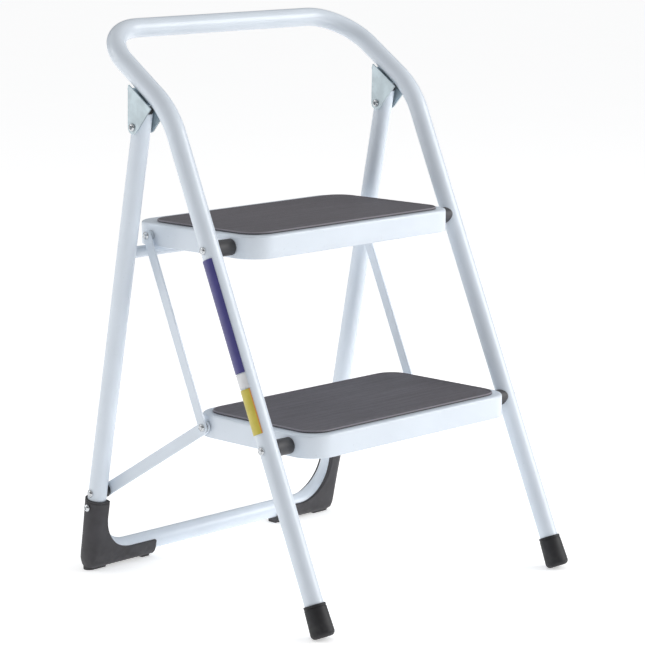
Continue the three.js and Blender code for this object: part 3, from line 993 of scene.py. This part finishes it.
@dataclass
class FrontFrame:
    """The front tube with its hand loop, foot tips, hinge brackets and label strips."""

    plan: Plan
    shop: Workshop
    bend_height: float = 620.0
    loop_lean: float = 55.6
    loop_reach: float = 166.6
    bend_radius: float = 110.0
    loop_radius: float = 66.0
    tip_length: float = 41.0
    tip_top: float = 14.0
    tip_bottom: float = 15.2
    tip_sink: float = 3.2
    tip_floor: float = 8.0
    tip_edge: float = 6.0
    ear_start: float = 17.4
    ear_end: float = 67.6
    ear_top: float = 8.3
    ear_radius: float = 9.0
    plate: float = 2.0
    ear_clearance: float = 0.8
    web_late: float = 15.0
    rivet_along: float = 56.0
    label_turn: float = 43.0
    film: float = 0.3
    spacer_radius: float = 10.5

    @property
    def along(self) -> Array:
        """Direction up the sloping top."""
        return np.array([math.sin(math.radians(self.loop_lean)), math.cos(math.radians(self.loop_lean))])

    @property
    def below(self) -> Array:
        """Direction square to the sloping top, downwards."""
        return np.array([self.along[1], -self.along[0]])

    def on_top(self, along: float, below: float) -> Array:
        """Place measured from the bend, along and below the sloping top's axis."""
        return self.plan.front_leg(self.bend_height) + along * self.along + below * self.below

    def tube(self) -> None:
        """One tube: up a leg, back along the slope, round the loop and down the other leg."""
        half = self.plan.half_track
        foot = self.plan.front_leg(self.tip_sink) + self.plan.up_front * (self.tip_floor + self.plan.gap)
        places = (foot, self.on_top(0, 0), self.on_top(self.loop_reach, 0))
        legs = [across(half, place) for place in places]
        corners = [*legs, *(corner * OTHER_SIDE for corner in reversed(legs))]
        radii = [self.bend_radius, self.loop_radius, self.loop_radius, self.bend_radius]
        bar = round_bar(bent_route(corners, radii), across(0.0, self.below), self.plan.tube)
        self.shop.place("bent_front_tube", bar, Finishes.paint, "front_frame", ["front_frame_tube"])

    def tips(self) -> None:
        """Rubber cups with a lip at the top, a slight flare and a rounded end, flat on the floor."""
        length, low, high, edge = self.tip_length, self.tip_bottom, self.tip_top, self.tip_edge
        inside = self.plan.tube + self.plan.gap
        outer = [(0, 0), *quarter(edge, (low - edge, edge), -90, 0, 8), (high + 0.1, length - 4.4),
                 (high - 0.45, length - 4.0), (high - 0.45, length - 3.4), (high, length - 3.0),
                 (high, length - 0.5), (high - 0.5, length), (inside, length), (inside, self.tip_floor),
                 (0, self.tip_floor)]
        centre = across(self.plan.half_track, self.plan.front_leg(self.tip_sink))
        cup = turned(outer, centre, across(0.0, self.plan.up_front), 56)
        cup.points[..., 2] = np.maximum(cup.points[..., 2], 0.0)
        for side in Side:
            self.shop.place(f"rubber_tip_{side.word}", cup.mirrored(side), Finishes.tip, "front_frame",
                            [f"front_foot_tip_{side.word}"])

    def brackets(self) -> None:
        """Two ears and a web of pressed sheet, with a blind rivet and the hinge's hollow rivet."""
        plan = self.plan
        start, end = self.on_top(self.ear_start, self.ear_top), self.on_top(self.ear_end, self.ear_top)
        corner = 1.4
        inwards = self.below * corner
        outline = Outline([(*(start + inwards + self.along * corner), corner),
                           (*plan.hinge, self.ear_radius),
                           (*(end + inwards - self.along * corner), corner)])
        reach = plan.tube + self.ear_clearance
        ears = [side_plate(outline, plan.half_track + a, plan.half_track + b, 0.35)
                for a, b in ((-reach - self.plate, -reach), (reach, reach + self.plate))]
        bend_reach = self.bend_radius * math.tan(
            (math.radians(self.loop_lean) - math.atan2(*plan.up_front)) / 2)
        sag = max(0.0, bend_reach - self.ear_start) ** 2 / (2 * self.bend_radius)
        top = plan.tube + sag + 2 * plan.gap
        web_outline = Outline([(*self.on_top(a, top + self.plate / 2), self.plate / 2 - 0.01)
                               for a in (self.ear_start + self.web_late, self.ear_end - 1)])
        web = side_plate(web_outline, plan.half_track - reach - 0.4, plan.half_track + reach + 0.4, 0.2)
        self.shop.pair("zinc_bracket", [*ears, web], Finishes.zinc, "front_frame", "hinge_bracket")
        seat = self.on_top(self.rivet_along, top + self.plate + plan.gap)
        deep = -(self.plate + plan.gap + sag + 2 * plan.gap + 2.5)
        profile = [(0, deep), (2, deep), (2, 0), (3.8, 0), (4, 0.3), (3.4, 1.1), (2.2, 1.4),
                   (1.3, 1.5), (1.2, 0.8), (0, 0.8)]
        blind = turned(profile, across(plan.half_track, seat), across(0.0, self.below))
        self.shop.pair("blind_rivet", [blind], Finishes.steel, "front_frame", "bracket_rivet")
        out = reach + self.plate + plan.gap
        head = [(3, out), (4.8, out), (5, out + 0.2), (5, out + 0.9), (4.4, out + 1.9), (3.2, out + 2.5),
                (2.6, out + 2.6), (2.3, out + 2.2), (2.3, out - 7), (0, out - 7)]
        profile = [(r, -x) for r, x in reversed(head)] + head
        hollow = turned(profile, across(plan.half_track, plan.hinge), ACROSS)
        self.shop.pair("hollow_hinge_rivet", [hollow], Finishes.steel, "front_frame", "hinge_rivet")

    def pivots(self) -> None:
        """The rivets, washers and round spacers that hold the treads between the legs."""
        plan = self.plan
        for step, point in ((Step.LOWER, plan.lower_pivot), (Step.UPPER, plan.upper_pivot)):
            seat = plan.skirt - plan.sheet - plan.gap
            tail = seat - plan.washer - plan.gap
            name = step.value
            self.shop.pair(f"{name}_pivot_pin", [plan.rivet(tail, plan.leg_outside + plan.gap, point)],
                      Finishes.steel, "front_frame", f"{name}_pivot_rivet")
            washer = plan.ring(plan.pivot_washer, tail + plan.gap, seat, point)
            self.shop.pair(f"{name}_backing_washer", [washer],
                      Finishes.steel, "front_frame", f"{name}_pivot_washer")
            spacer = plan.saddle(self.spacer_radius, plan.skirt + plan.gap, point, plan.up_front,
                                 plan.shank + plan.gap)
            self.shop.pair(f"{name}_round_spacer", [spacer],
                           Finishes.spacer, "front_frame", f"{name}_pivot_spacer")

    def labels(self) -> None:
        """Blank film strips round the outer side of the left leg."""
        radius, thick, count = self.plan.tube + 2 * self.plan.gap, self.film, 25
        for name, finish, low, high in (("blue", Finishes.blue, 310.5, 444.0),
                                        ("white", Finishes.white, 293.0, 309.5),
                                        ("yellow", Finishes.yellow, 239.0, 291.5)):
            turn = math.radians(self.label_turn)
            angle = np.linspace(-turn, turn, count)
            reach = np.concatenate([np.full(count, radius + thick), np.full(count, radius)])
            angles = np.concatenate([angle, angle[::-1]])
            up = across(0.0, self.plan.up_front)
            square = across(0.0, np.array([self.plan.up_front[1], -self.plan.up_front[0]]))
            section = reach[:, None] * (np.cos(angles)[:, None] * np.array([-1.0, 0, 0])
                                        + np.sin(angles)[:, None] * square)
            core = np.concatenate([section[count:][::-1], section[count:]])
            bottom = across(-self.plan.half_track, self.plan.front_leg(low))
            length = (high - low) / self.plan.up_front[1]
            points = np.stack([bottom + core, bottom + section, bottom + section + length * up,
                               bottom + core + length * up])
            shade = np.tile((angles + turn) / (2 * turn), (4, 1))
            self.shop.place(f"{name}_strip", Grid(points, field=shade), finish, "front_frame",
                            [f"{name}_label"])

    def build(self) -> None:
        """Builds every piece of the front frame."""
        self.tube()
        self.tips()
        self.brackets()
        self.pivots()
        self.labels()


@dataclass
class RearFrame:
    """The rear U tube with its cross bar, leg plugs, corner boots and the links' pivots."""

    plan: Plan
    shop: Workshop
    above_hinge: float = 19.0
    plug_height: float = 9.0
    cross_radius: float = 7.5
    cross_behind: float = 3.0
    depth: float = 15.5
    rounding: float = 14.5
    side: float = 15.2
    taper: float = 5.7
    sole: float = 19.0
    top: float = 103.0
    arm_end: float = 102.0
    leg_edge: float = 9.8
    bar_edge: float = 5.5
    back_share: float = 0.45
    screw_at: float = 92.0
    hardness: float = 20.0
    groove_depth: float = 0.55
    groove_at: float = 2.6
    groove_half: float = 0.6
    rim_ease: float = 0.5
    pad_half: float = 8.0
    pad_corner: float = 2.5
    pad_spans: tuple[tuple[float, float, float], ...] = ((-6.5, 24.5, 7.9), (86.0, 100.5, 2.5))

    @property
    def bar_distance(self) -> float:
        """Distance up the frame's plane from the floor to the bottom bar's axis."""
        return self.plan.bar_height / self.plan.up_rear[1]

    def in_plane(self, x: Array, up: Array, out: Array) -> Array:
        """Points of the rear frame's own plane.

        Args:
            x: across the stool.
            up: along the leg from the floor.
            out: square to the plane, backwards.

        Returns:
            Array (..., 3).
        """
        foot = self.plan.rear_leg(0.0)
        places = (foot + np.asarray(up)[..., None] * self.plan.up_rear
                  + np.asarray(out)[..., None] * self.plan.behind_rear)
        return across(x, places)

    def tube(self) -> None:
        """One tube: down a leg, along the floor and up the other leg, with plugs in its ends."""
        plan = self.plan
        top = plan.hinge + plan.up_rear * self.above_hinge
        legs = [across(plan.half_track, top), across(plan.half_track, plan.rear_leg(plan.bar_height))]
        corners = [*legs, *(corner * OTHER_SIDE for corner in reversed(legs))]
        route = bent_route(corners, [plan.rear_corner] * 2)
        bar = round_bar(route, across(0.0, plan.behind_rear), plan.tube)
        self.shop.place("rear_u_tube", bar, Finishes.paint, "rear_frame", ["rear_frame_tube"])
        r, h = plan.tube, self.plug_height
        profile = [(0, plan.gap), (r - 0.3, plan.gap), (r, plan.gap + 0.3), (r, h - 3.5),
                   *quarter(3.5, (r - 3.5, h - 3.5), 0, 90, 7), (0, h)]
        plug = turned(profile, across(plan.half_track, top), across(0.0, plan.up_rear))
        self.shop.pair("leg_end_plug", [plug], Finishes.black, "rear_frame", "rear_leg_plug")

    def cross_bar(self) -> None:
        """Thin tube whose ends follow the legs' curve, with a weld bead round each end.

        At an offset d from the leg's axis the end is at half track - sqrt(tube^2 - d^2).
        """
        plan, r = self.plan, self.cross_radius
        height = plan.upper_pivot[1] - plan.skirt_below - plan.gap - r
        place = plan.rear_leg(height) + np.array([self.cross_behind, 0.0])
        sides = 40
        angle = np.linspace(0, 2 * np.pi, sides, endpoint=False)
        circle = np.stack([np.cos(angle), np.sin(angle)], -1)
        offset = (place - plan.rear_leg(height)) @ plan.behind_rear + r * circle @ plan.behind_rear
        end = plan.half_track - np.sqrt((plan.tube + 0.02) ** 2 - offset ** 2)
        ring = place + r * circle
        core = np.broadcast_to(place, ring.shape)
        rows = [across(np.full(sides, -end.mean()), core), across(-end, ring), across(end, ring),
                across(np.full(sides, end.mean()), core)]
        self.shop.place("thin_cross_tube", Grid(np.stack(rows)), Finishes.paint, "rear_frame",
                        ["rear_cross_bar"])
        turn = np.linspace(0, 2 * np.pi, 10, endpoint=False)
        size = 1.25 + 0.2 * np.sin(9 * angle)
        bead = place + (r + size[:, None, None] * np.cos(turn)[None, :, None]) * circle[:, None]
        x = end[:, None] - 0.3 + size[:, None] * np.sin(turn)[None]
        weld = Grid(across(x, bead), closed_rows=True)
        self.shop.pair("cross_tube_weld", [weld], Finishes.paint, "rear_frame", None)

    def boot(self) -> None:
        """Channel round the outside of a bottom corner.

        Along the tube's centre line (down the leg, round the bend, along the bar) the section is a
        half-round channel: its outside lies at
        e = -inner + (outer - rounding + inner) * a + rounding * b from the tube's axis, and its inside
        is the circle of the tube with a clearance.
        """
        plan, half, rc = self.plan, self.plan.half_track, self.plan.rear_corner
        bar = self.bar_distance
        # Stations from the top edge down: the eased rim, the groove's two sides, then the plain leg.
        straight = np.array([0, 0.4, 1.8, 2.1, 3.1, 3.4, 9, 16, 1e9])
        down = self.top - np.minimum(straight, self.top - bar - rc)
        bend = np.radians(np.linspace(0, 90, 25))[1:]
        bar_run = half - rc - np.linspace(0, self.arm_end - rc, 9)[1:]
        centre = np.array([half - rc, bar + rc])
        axis = np.concatenate([np.stack([np.full_like(down, half), down], -1),
                               centre + rc * np.stack([np.cos(bend), -np.sin(bend)], -1),
                               np.stack([bar_run, np.full_like(bar_run, bar)], -1)])
        out = np.concatenate([np.tile([1.0, 0], (len(down), 1)),
                              np.stack([np.cos(bend), -np.sin(bend)], -1),
                              np.tile([0, -1.0], (len(bar_run), 1))])
        slant = self.taper / self.top
        to_side = (half + self.side - slant * (self.top - axis[:, 1]) - axis[:, 0]) / np.maximum(
            out[:, 0] - slant * out[:, 1], 1e-6)
        to_sole = (axis[:, 1] - (bar - self.sole)) / np.maximum(-out[:, 1], 1e-6)
        hard = self.hardness
        outer = ((to_side + rc) ** -hard + (to_sole + rc) ** -hard) ** (-1 / hard) - rc
        turn = np.concatenate([np.zeros(len(down)), bend / (np.pi / 2), np.ones(len(bar_run))])
        inner = self.leg_edge + (self.bar_edge - self.leg_edge) * turn ** 2 * (3 - 2 * turn)
        run = np.concatenate([self.top - down, np.full(len(axis) - len(down), 50.0)])
        groove = self.groove_depth * (np.abs(run - self.groove_at) < self.groove_half)
        ease = self.rim_ease * (run < 0.2)
        shrink = groove + ease
        outer, depth, rounding = outer - shrink, self.depth - shrink, self.rounding - shrink
        swing = np.radians(np.linspace(0, 90, 9))
        a = np.concatenate([[0, 0.5], np.ones(9), np.ones(9), [0.5, 0]])
        b = np.concatenate([[0, 0], np.sin(swing), np.sin(swing)[::-1], [0, 0]])
        c = np.concatenate([[1, 1], np.cos(swing), -np.cos(swing)[::-1], [-1, -1]])
        flat = np.sign(c) * (np.abs(c) > 1e-9)
        reach = inner[:, None] * np.where(c > 0, self.back_share, 1.0)
        e = -reach + ((outer - rounding)[:, None] + reach) * a + rounding[:, None] * b
        d = flat * (depth - rounding)[:, None] + rounding[:, None] * c
        hole = plan.tube + plan.gap
        begin, end = np.arccos(self.back_share * inner / hole), 2 * np.pi - np.arccos(inner / hole)
        theta = begin[:, None] + (end - begin)[:, None] * np.linspace(0, 1, len(a))
        e_in, d_in = -hole * np.cos(theta), hole * np.sin(theta)
        shell = np.concatenate([e, e_in[:, ::-1]], 1), np.concatenate([d, d_in[:, ::-1]], 1)
        folded = (np.concatenate([part, part[:, ::-1]], 1) for part in (e_in, d_in))
        shell = [np.vstack([fold[:1], part, fold[-1:]]) for part, fold in zip(shell, folded)]
        axis, out = (np.vstack([part[:1], part, part[-1:]]) for part in (axis, out))
        plane = axis[:, None] + shell[0][..., None] * out[:, None]
        body = Grid(self.in_plane(plane[..., 0], plane[..., 1], shell[1]))
        surfaces = [body, *self.pads()]
        self.shop.pair("corner_boot", surfaces, Finishes.boot, "rear_frame", "rear_corner_boot")
        start, tip = half + self.side + plan.gap, plan.leg_outside - 3.5
        head = [(0, tip), (2.6, tip), (3, tip + 0.6), *plan.domed(start, ring=False)[:-3],
                (2.6, start + 2.3), (2.2, start + 2.5), (1.9, start + 1.5), (0, start + 1.4)]
        screw = turned(head, self.in_plane(0.0, self.screw_at, 0.0), ACROSS)
        self.shop.pair("boot_side_screw", [screw], Finishes.steel, "rear_frame", "boot_screw")

    def pads(self) -> list[Grid]:
        """Blocks under a boot that stand on the floor.

        Each span gives how far inside the leg's axis a block starts and ends, and the radius of its
        outer corners.

        Returns:
            One closed grid for each block.
        """
        foot, half = self.plan.rear_leg(0.0)[0], self.plan.half_track
        wide, corner = self.pad_half, self.pad_corner
        grids = []
        for near, far, nose in self.pad_spans:
            outline = Outline([
                (half - far + corner, foot - (wide - corner), corner),
                (half - near - nose, foot - wide + nose, nose),
                (half - near - nose, foot + wide - nose, nose),
                (half - far + corner, foot + (wide - corner), corner)])
            places, heights = outline.carry([(0.8, 0), (0.2, 0.25), (0, 0.8), (0, 5)])
            grids.append(Grid(np.concatenate([
                places, np.broadcast_to(heights[:, None, None], places.shape[:2] + (1,))], -1)))
        return grids

    def link_pivots(self) -> None:
        """Hollowed spacers and rivets where the lower links meet the rear legs."""
        plan = self.plan
        start = plan.leg_seat
        spacer = plan.saddle(9.0, start, plan.leg_rivet, plan.up_rear, plan.shank + plan.gap)
        self.shop.pair("leg_saddle", [spacer], Finishes.black, "rear_frame", "leg_link_spacer")
        profile = [(0, start), (plan.shank, start), *plan.domed(plan.leg_outside + plan.gap)]
        rivet = turned(profile, across(0.0, plan.leg_rivet), ACROSS)
        self.shop.pair("leg_rivet", [rivet], Finishes.steel, "rear_frame", "leg_link_rivet")

    def build(self) -> None:
        """Builds every piece of the rear frame."""
        self.tube()
        self.cross_bar()
        self.boot()
        self.link_pivots()


@dataclass
class Tread:
    """A pressed pan with its rubber mat and the rivets of the links behind it."""

    plan: Plan
    shop: Workshop
    step: Step
    rear: float
    above: float = 15.0
    front: float = 41.7
    corner: float = 35.0
    edge: float = 3.0
    mat_end: float = 11.5
    mat_front: float = 31.0
    mat_rear: float = 169.0
    mat_corner: float = 28.0
    mat_thick: float = 2.7
    rim: float = 3.0
    rim_drop: float = 0.7
    sleeve_radius: float = 6.5

    @property
    def pivot(self) -> Array:
        """The tread's front pivot."""
        return self.plan.lower_pivot if self.step is Step.LOWER else self.plan.upper_pivot

    @property
    def rivet_place(self) -> Array:
        """The rivet of the links behind the pivot."""
        return self.plan.lower_rivet if self.step is Step.LOWER else self.plan.upper_rivet

    def level(self, outline: Outline, rows: Sequence[tuple[float, float]]) -> Array:
        """A profile carried round a level outline.

        Args:
            outline: in (x, y).
            rows: (inset, height above the pivot).

        Returns:
            Array (rows, columns, 3).
        """
        places, heights = outline.carry(rows)
        z = np.broadcast_to(heights[:, None, None] + self.pivot[1], places.shape[:2] + (1,))
        return np.concatenate([places, z], -1)

    def pan(self) -> None:
        """Flat top with a rounded edge and a skirt all round, open underneath."""
        plan, y = self.plan, self.pivot[0]
        outline = rounded_rectangle((-plan.skirt, y - self.front), (plan.skirt, y + self.rear),
                                    self.corner)
        top, low, t, r = self.above, -plan.skirt_below, plan.sheet, self.edge
        angle = np.radians(np.linspace(0, 90, 8))
        inner_r = r - t
        under = [(t + inner_r * (1 - math.cos(a)), top - r + inner_r * math.sin(a)) for a in angle[::-1]]
        hem = [(t / 2 + t / 2 * math.cos(a), low + t / 2 - t / 2 * math.sin(a))
               for a in np.linspace(0, np.pi, 7)]
        over = [(r * (1 - math.cos(a)), top - r + r * math.sin(a)) for a in angle]
        rows = [*under, *hem, *over]
        pan, name = Grid(self.level(outline, rows)), self.step.value
        self.shop.place(f"{name}_pressed_pan", pan, Finishes.paint, f"{name}_tread",
                        [f"{name}_tread_pan"], 50.0)

    def mat(self) -> None:
        """Rubber sheet with a raised rim round its ribbed field, and a field number that places painted
        shade on its side wall and a painted highlight on its top edge.
        """
        end, y = self.plan.skirt - self.mat_end, self.pivot[0]
        outline = rounded_rectangle((-end, y - self.mat_front), (end, y + self.mat_rear),
                                    self.mat_corner)
        low = self.above + self.plan.gap
        high, rim = low + self.mat_thick, self.rim
        dip = high - self.rim_drop
        rows = [(0.3, low), (0, low + 0.3), (0, high - 1.2), (0.35, high - 0.35), (1.2, high),
                (rim - 1.0, high), (rim - 0.9, high - 0.1), (rim, dip + 0.1), (rim + 0.3, dip),
                (rim + 0.8, dip)]
        places = self.level(outline, rows)
        # Field along the profile: zero up the side wall, where painted shade goes; middling over the
        # rounded top edge, where a painted highlight goes; one on the rim's top and the ribbed field.
        inside = np.array([0] * 4 + [0.2, 0.5, 0.6, 0.95] + [1.0] * 6)
        shade = np.broadcast_to(inside[:, None], places.shape[:2])
        self.shop.place(f"{self.step.value}_ribbed_mat", Grid(places, field=shade), Finishes.mat,
                        f"{self.step.value}_tread", [f"{self.step.value}_tread_mat"])

    def joints(self) -> None:
        """The link rivet, and the washers or the sleeve that the links turn against."""
        plan, name, body = self.plan, self.step.value, f"{self.step.value}_tread"
        low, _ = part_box(f"{name}_link_rivet_right")
        tail = low[0] / MM + 2
        pieces = [(f"{name}_link_pin", plan.rivet(tail, plan.upper_link[1] + plan.gap, self.rivet_place),
                   f"{name}_link_rivet")]
        first = plan.skirt + plan.gap
        if self.step is Step.LOWER:
            for word, seat in (("inner", first), ("outer", plan.lower_link[1] + plan.gap)):
                washer = plan.ring(plan.pivot_washer, seat, seat + plan.washer, self.rivet_place)
                pieces.append((f"{word}_washer", washer, f"{word}_link_washer"))
        else:
            last = plan.upper_link[0] - plan.gap
            sleeve = plan.ring(self.sleeve_radius, first, last, self.rivet_place)
            pieces.append(("link_sleeve", sleeve, "upper_link_sleeve"))
        for side in Side:
            for piece, grid, node in pieces:
                self.shop.place(f"{piece}_{side.word}", grid.mirrored(side), Finishes.steel, body,
                                [f"{node}_{side.word}"])

    def build(self) -> None:
        """Builds every piece of the tread."""
        self.pan()
        self.mat()
        self.joints()


@dataclass
class Links:
    """The flat bars that fold the treads with the rear frame."""

    plan: Plan
    shop: Workshop
    upper_half: float = 7.0
    lower_half: float = 8.0
    flat: float = 14.0

    def bar(self, first: Array, last: Array, half: float, faces: tuple[float, float]) -> Grid:
        """Flat bar with round ends and stations along it, so that it can be bent.

        Args:
            first: one end's rivet.
            last: the other end's rivet.
            half: half its width.
            faces: x of its two faces.

        Returns:
            Closed grid.
        """
        share = np.linspace(0, 1, 61)[:, None]
        out = first + (last - first) * share
        there_and_back = np.concatenate([out, out[-2:0:-1]])
        outline = Outline([(*place, half) for place in there_and_back], 17, spine=True)
        return side_plate(outline, *faces, 0.5)

    def leaning(self, grid: Grid) -> Grid:
        """The lower link, flat beside both rivets and leaning outwards between them.

        A point at t of the way along the lean is moved across the stool by t of the whole offset.

        Args:
            grid: the straight link.

        Returns:
            The bent one.
        """
        plan = self.plan
        run = plan.leg_rivet - plan.lower_rivet
        gone = (grid.points[..., 1:] - plan.lower_rivet) @ unit(run)
        t = np.clip((gone - self.flat) / (np.linalg.norm(run) - 2 * self.flat), 0, 1)
        grid.points[..., 0] += (plan.link_end[0] - plan.lower_link[0]) * t
        return grid

    def build(self) -> None:
        """Builds the four links and the lower ones' end rivets."""
        plan = self.plan
        upper = self.bar(plan.lower_rivet, plan.upper_rivet, self.upper_half, plan.upper_link)
        straight = self.bar(plan.lower_rivet, plan.leg_rivet, self.lower_half, plan.lower_link)
        lower = self.leaning(straight)
        inside, outside = plan.link_end[0] - plan.gap, plan.link_end[1] - plan.gap
        end = turned([(0, inside - 2), (3.8, inside - 2), (4.5, inside - 1.4), (4.5, inside),
                      (plan.shank, inside), (plan.shank, outside), (0, outside)],
                     across(0.0, plan.leg_rivet), ACROSS)
        for side in Side:
            word = side.word
            self.shop.place(f"tread_link_{word}", upper.mirrored(side), Finishes.paint,
                            f"upper_link_{word}", [f"upper_link_{word}"])
            self.shop.place(f"leg_link_{word}", lower.mirrored(side), Finishes.paint,
                            f"lower_link_{word}", [f"lower_link_{word}"])
            self.shop.place(f"leg_link_pin_{word}", end.mirrored(side), Finishes.steel,
                            f"lower_link_{word}", [f"link_end_rivet_{word}"])


# ---------------------------------------------------------------- studio


@dataclass
class Studio:
    """Pale floor, soft lights and the camera."""

    shop: Workshop
    floor_size: float = 40.0
    world: float = 0.14
    backdrop: float = 1.0
    ceiling: float = 1.2
    azimuth: float = -44.47
    elevation: float = 10.33
    roll: float = -0.42
    place: tuple[float, float, float] = (-2.2403, -2.2851, 0.9152)
    lens: float = 139.38
    sensor: float = 36.0
    lamp_size: float = 1.8
    aim_height: float = 0.35
    sky_spread: float = 120.0
    tint: Colour = (0.95, 0.97, 1.0)

    def floor(self) -> None:
        """Level sheet of pale paper under the stool."""
        half = self.floor_size / 2
        mesh = bpy.data.meshes.new("studio_floor")
        corners = [(-half, -half, 0), (half, -half, 0), (half, half, 0), (-half, half, 0)]
        mesh.from_pydata(corners, [], [(0, 1, 2, 3)])
        floor = bpy.data.objects.new("studio_floor", mesh)
        bpy.context.scene.collection.objects.link(floor)
        mesh.materials.append(self.shop.finishes.of(StudioPaper()))

    def light(self, name: str, power: float, place: tuple[float, float, float]) -> None:
        """Soft square light aimed at the stool.

        Args:
            name: of the light.
            power: in watts.
            place: where it hangs, in metres.
        """
        data = bpy.data.lights.new(name, "AREA")
        data.energy, data.size, data.shape = power, self.lamp_size, "SQUARE"
        lamp = bpy.data.objects.new(name, data)
        bpy.context.scene.collection.objects.link(lamp)
        aim = Vector((0, 0, self.aim_height)) - Vector(place)
        lamp.matrix_world = Matrix.Translation(place) @ aim.to_track_quat("-Z", "Y").to_matrix().to_4x4()

    def sky(self) -> None:
        """Very soft even light from above."""
        data = bpy.data.lights.new("ceiling_light", "SUN")
        data.energy, data.angle = self.ceiling, math.radians(self.sky_spread)
        lamp = bpy.data.objects.new("ceiling_light", data)
        bpy.context.scene.collection.objects.link(lamp)

    def surroundings(self) -> None:
        """Dim pale surroundings that light the stool, with a bright backdrop behind it."""
        world = bpy.data.worlds.new("studio_world")
        bpy.context.scene.world = world
        world.use_nodes = True
        tree = world.node_tree
        fill, seen = tree.nodes["Background"], tree.nodes.new("ShaderNodeBackground")
        for background, strength in ((fill, self.world), (seen, self.backdrop)):
            background.inputs["Color"].default_value = rgba(self.tint)
            background.inputs["Strength"].default_value = strength
        path, mix = tree.nodes.new("ShaderNodeLightPath"), tree.nodes.new("ShaderNodeMixShader")
        tree.links.new(path.outputs["Is Camera Ray"], mix.inputs[0])
        tree.links.new(fill.outputs[0], mix.inputs[1])
        tree.links.new(seen.outputs[0], mix.inputs[2])
        tree.links.new(mix.outputs[0], tree.nodes["World Output"].inputs["Surface"])

    def camera(self) -> None:
        """Camera turned by its azimuth, elevation and roll."""
        data = bpy.data.cameras.new("stool_camera")
        data.lens, data.sensor_width, data.clip_end = self.lens, self.sensor, 200.0
        camera = bpy.data.objects.new("stool_camera", data)
        bpy.context.scene.collection.objects.link(camera)
        az, el, roll = (math.radians(angle) for angle in (self.azimuth, self.elevation, self.roll))
        back = Vector((math.sin(az) * math.cos(el), -math.cos(az) * math.cos(el), math.sin(el)))
        right = Vector((math.cos(az), math.sin(az), 0.0))
        up = back.cross(right)
        rows = (right * math.cos(roll) + up * math.sin(roll),
                up * math.cos(roll) - right * math.sin(roll), back)
        camera.matrix_world = Matrix.Translation(self.place) @ Matrix(rows).transposed().to_4x4()
        bpy.context.scene.camera = camera

    def build(self) -> None:
        """Sets up the floor, the lights, the pale surroundings and the camera."""
        self.floor()
        self.light("right_softbox", 60, (2.3, -2.1, 1.5))
        self.light("left_softbox", 22, (-2.1, 2.3, 1.5))
        self.sky()
        bpy.context.scene.view_settings.view_transform = "Standard"
        self.surroundings()
        self.camera()


def main() -> None:
    """Builds the stool's sub-assemblies in order."""
    logging.basicConfig(level=logging.INFO, format="%(name)s: %(message)s")
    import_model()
    shop, plan = Workshop(), Plan.measured()
    FrontFrame(plan, shop).build()
    RearFrame(plan, shop).build()
    Tread(plan, shop, Step.LOWER, rear=179.6).build()
    Tread(plan, shop, Step.UPPER, rear=191.4).build()
    Links(plan, shop).build()
    Studio(shop).build()


if __name__ == "__main__":
    main()
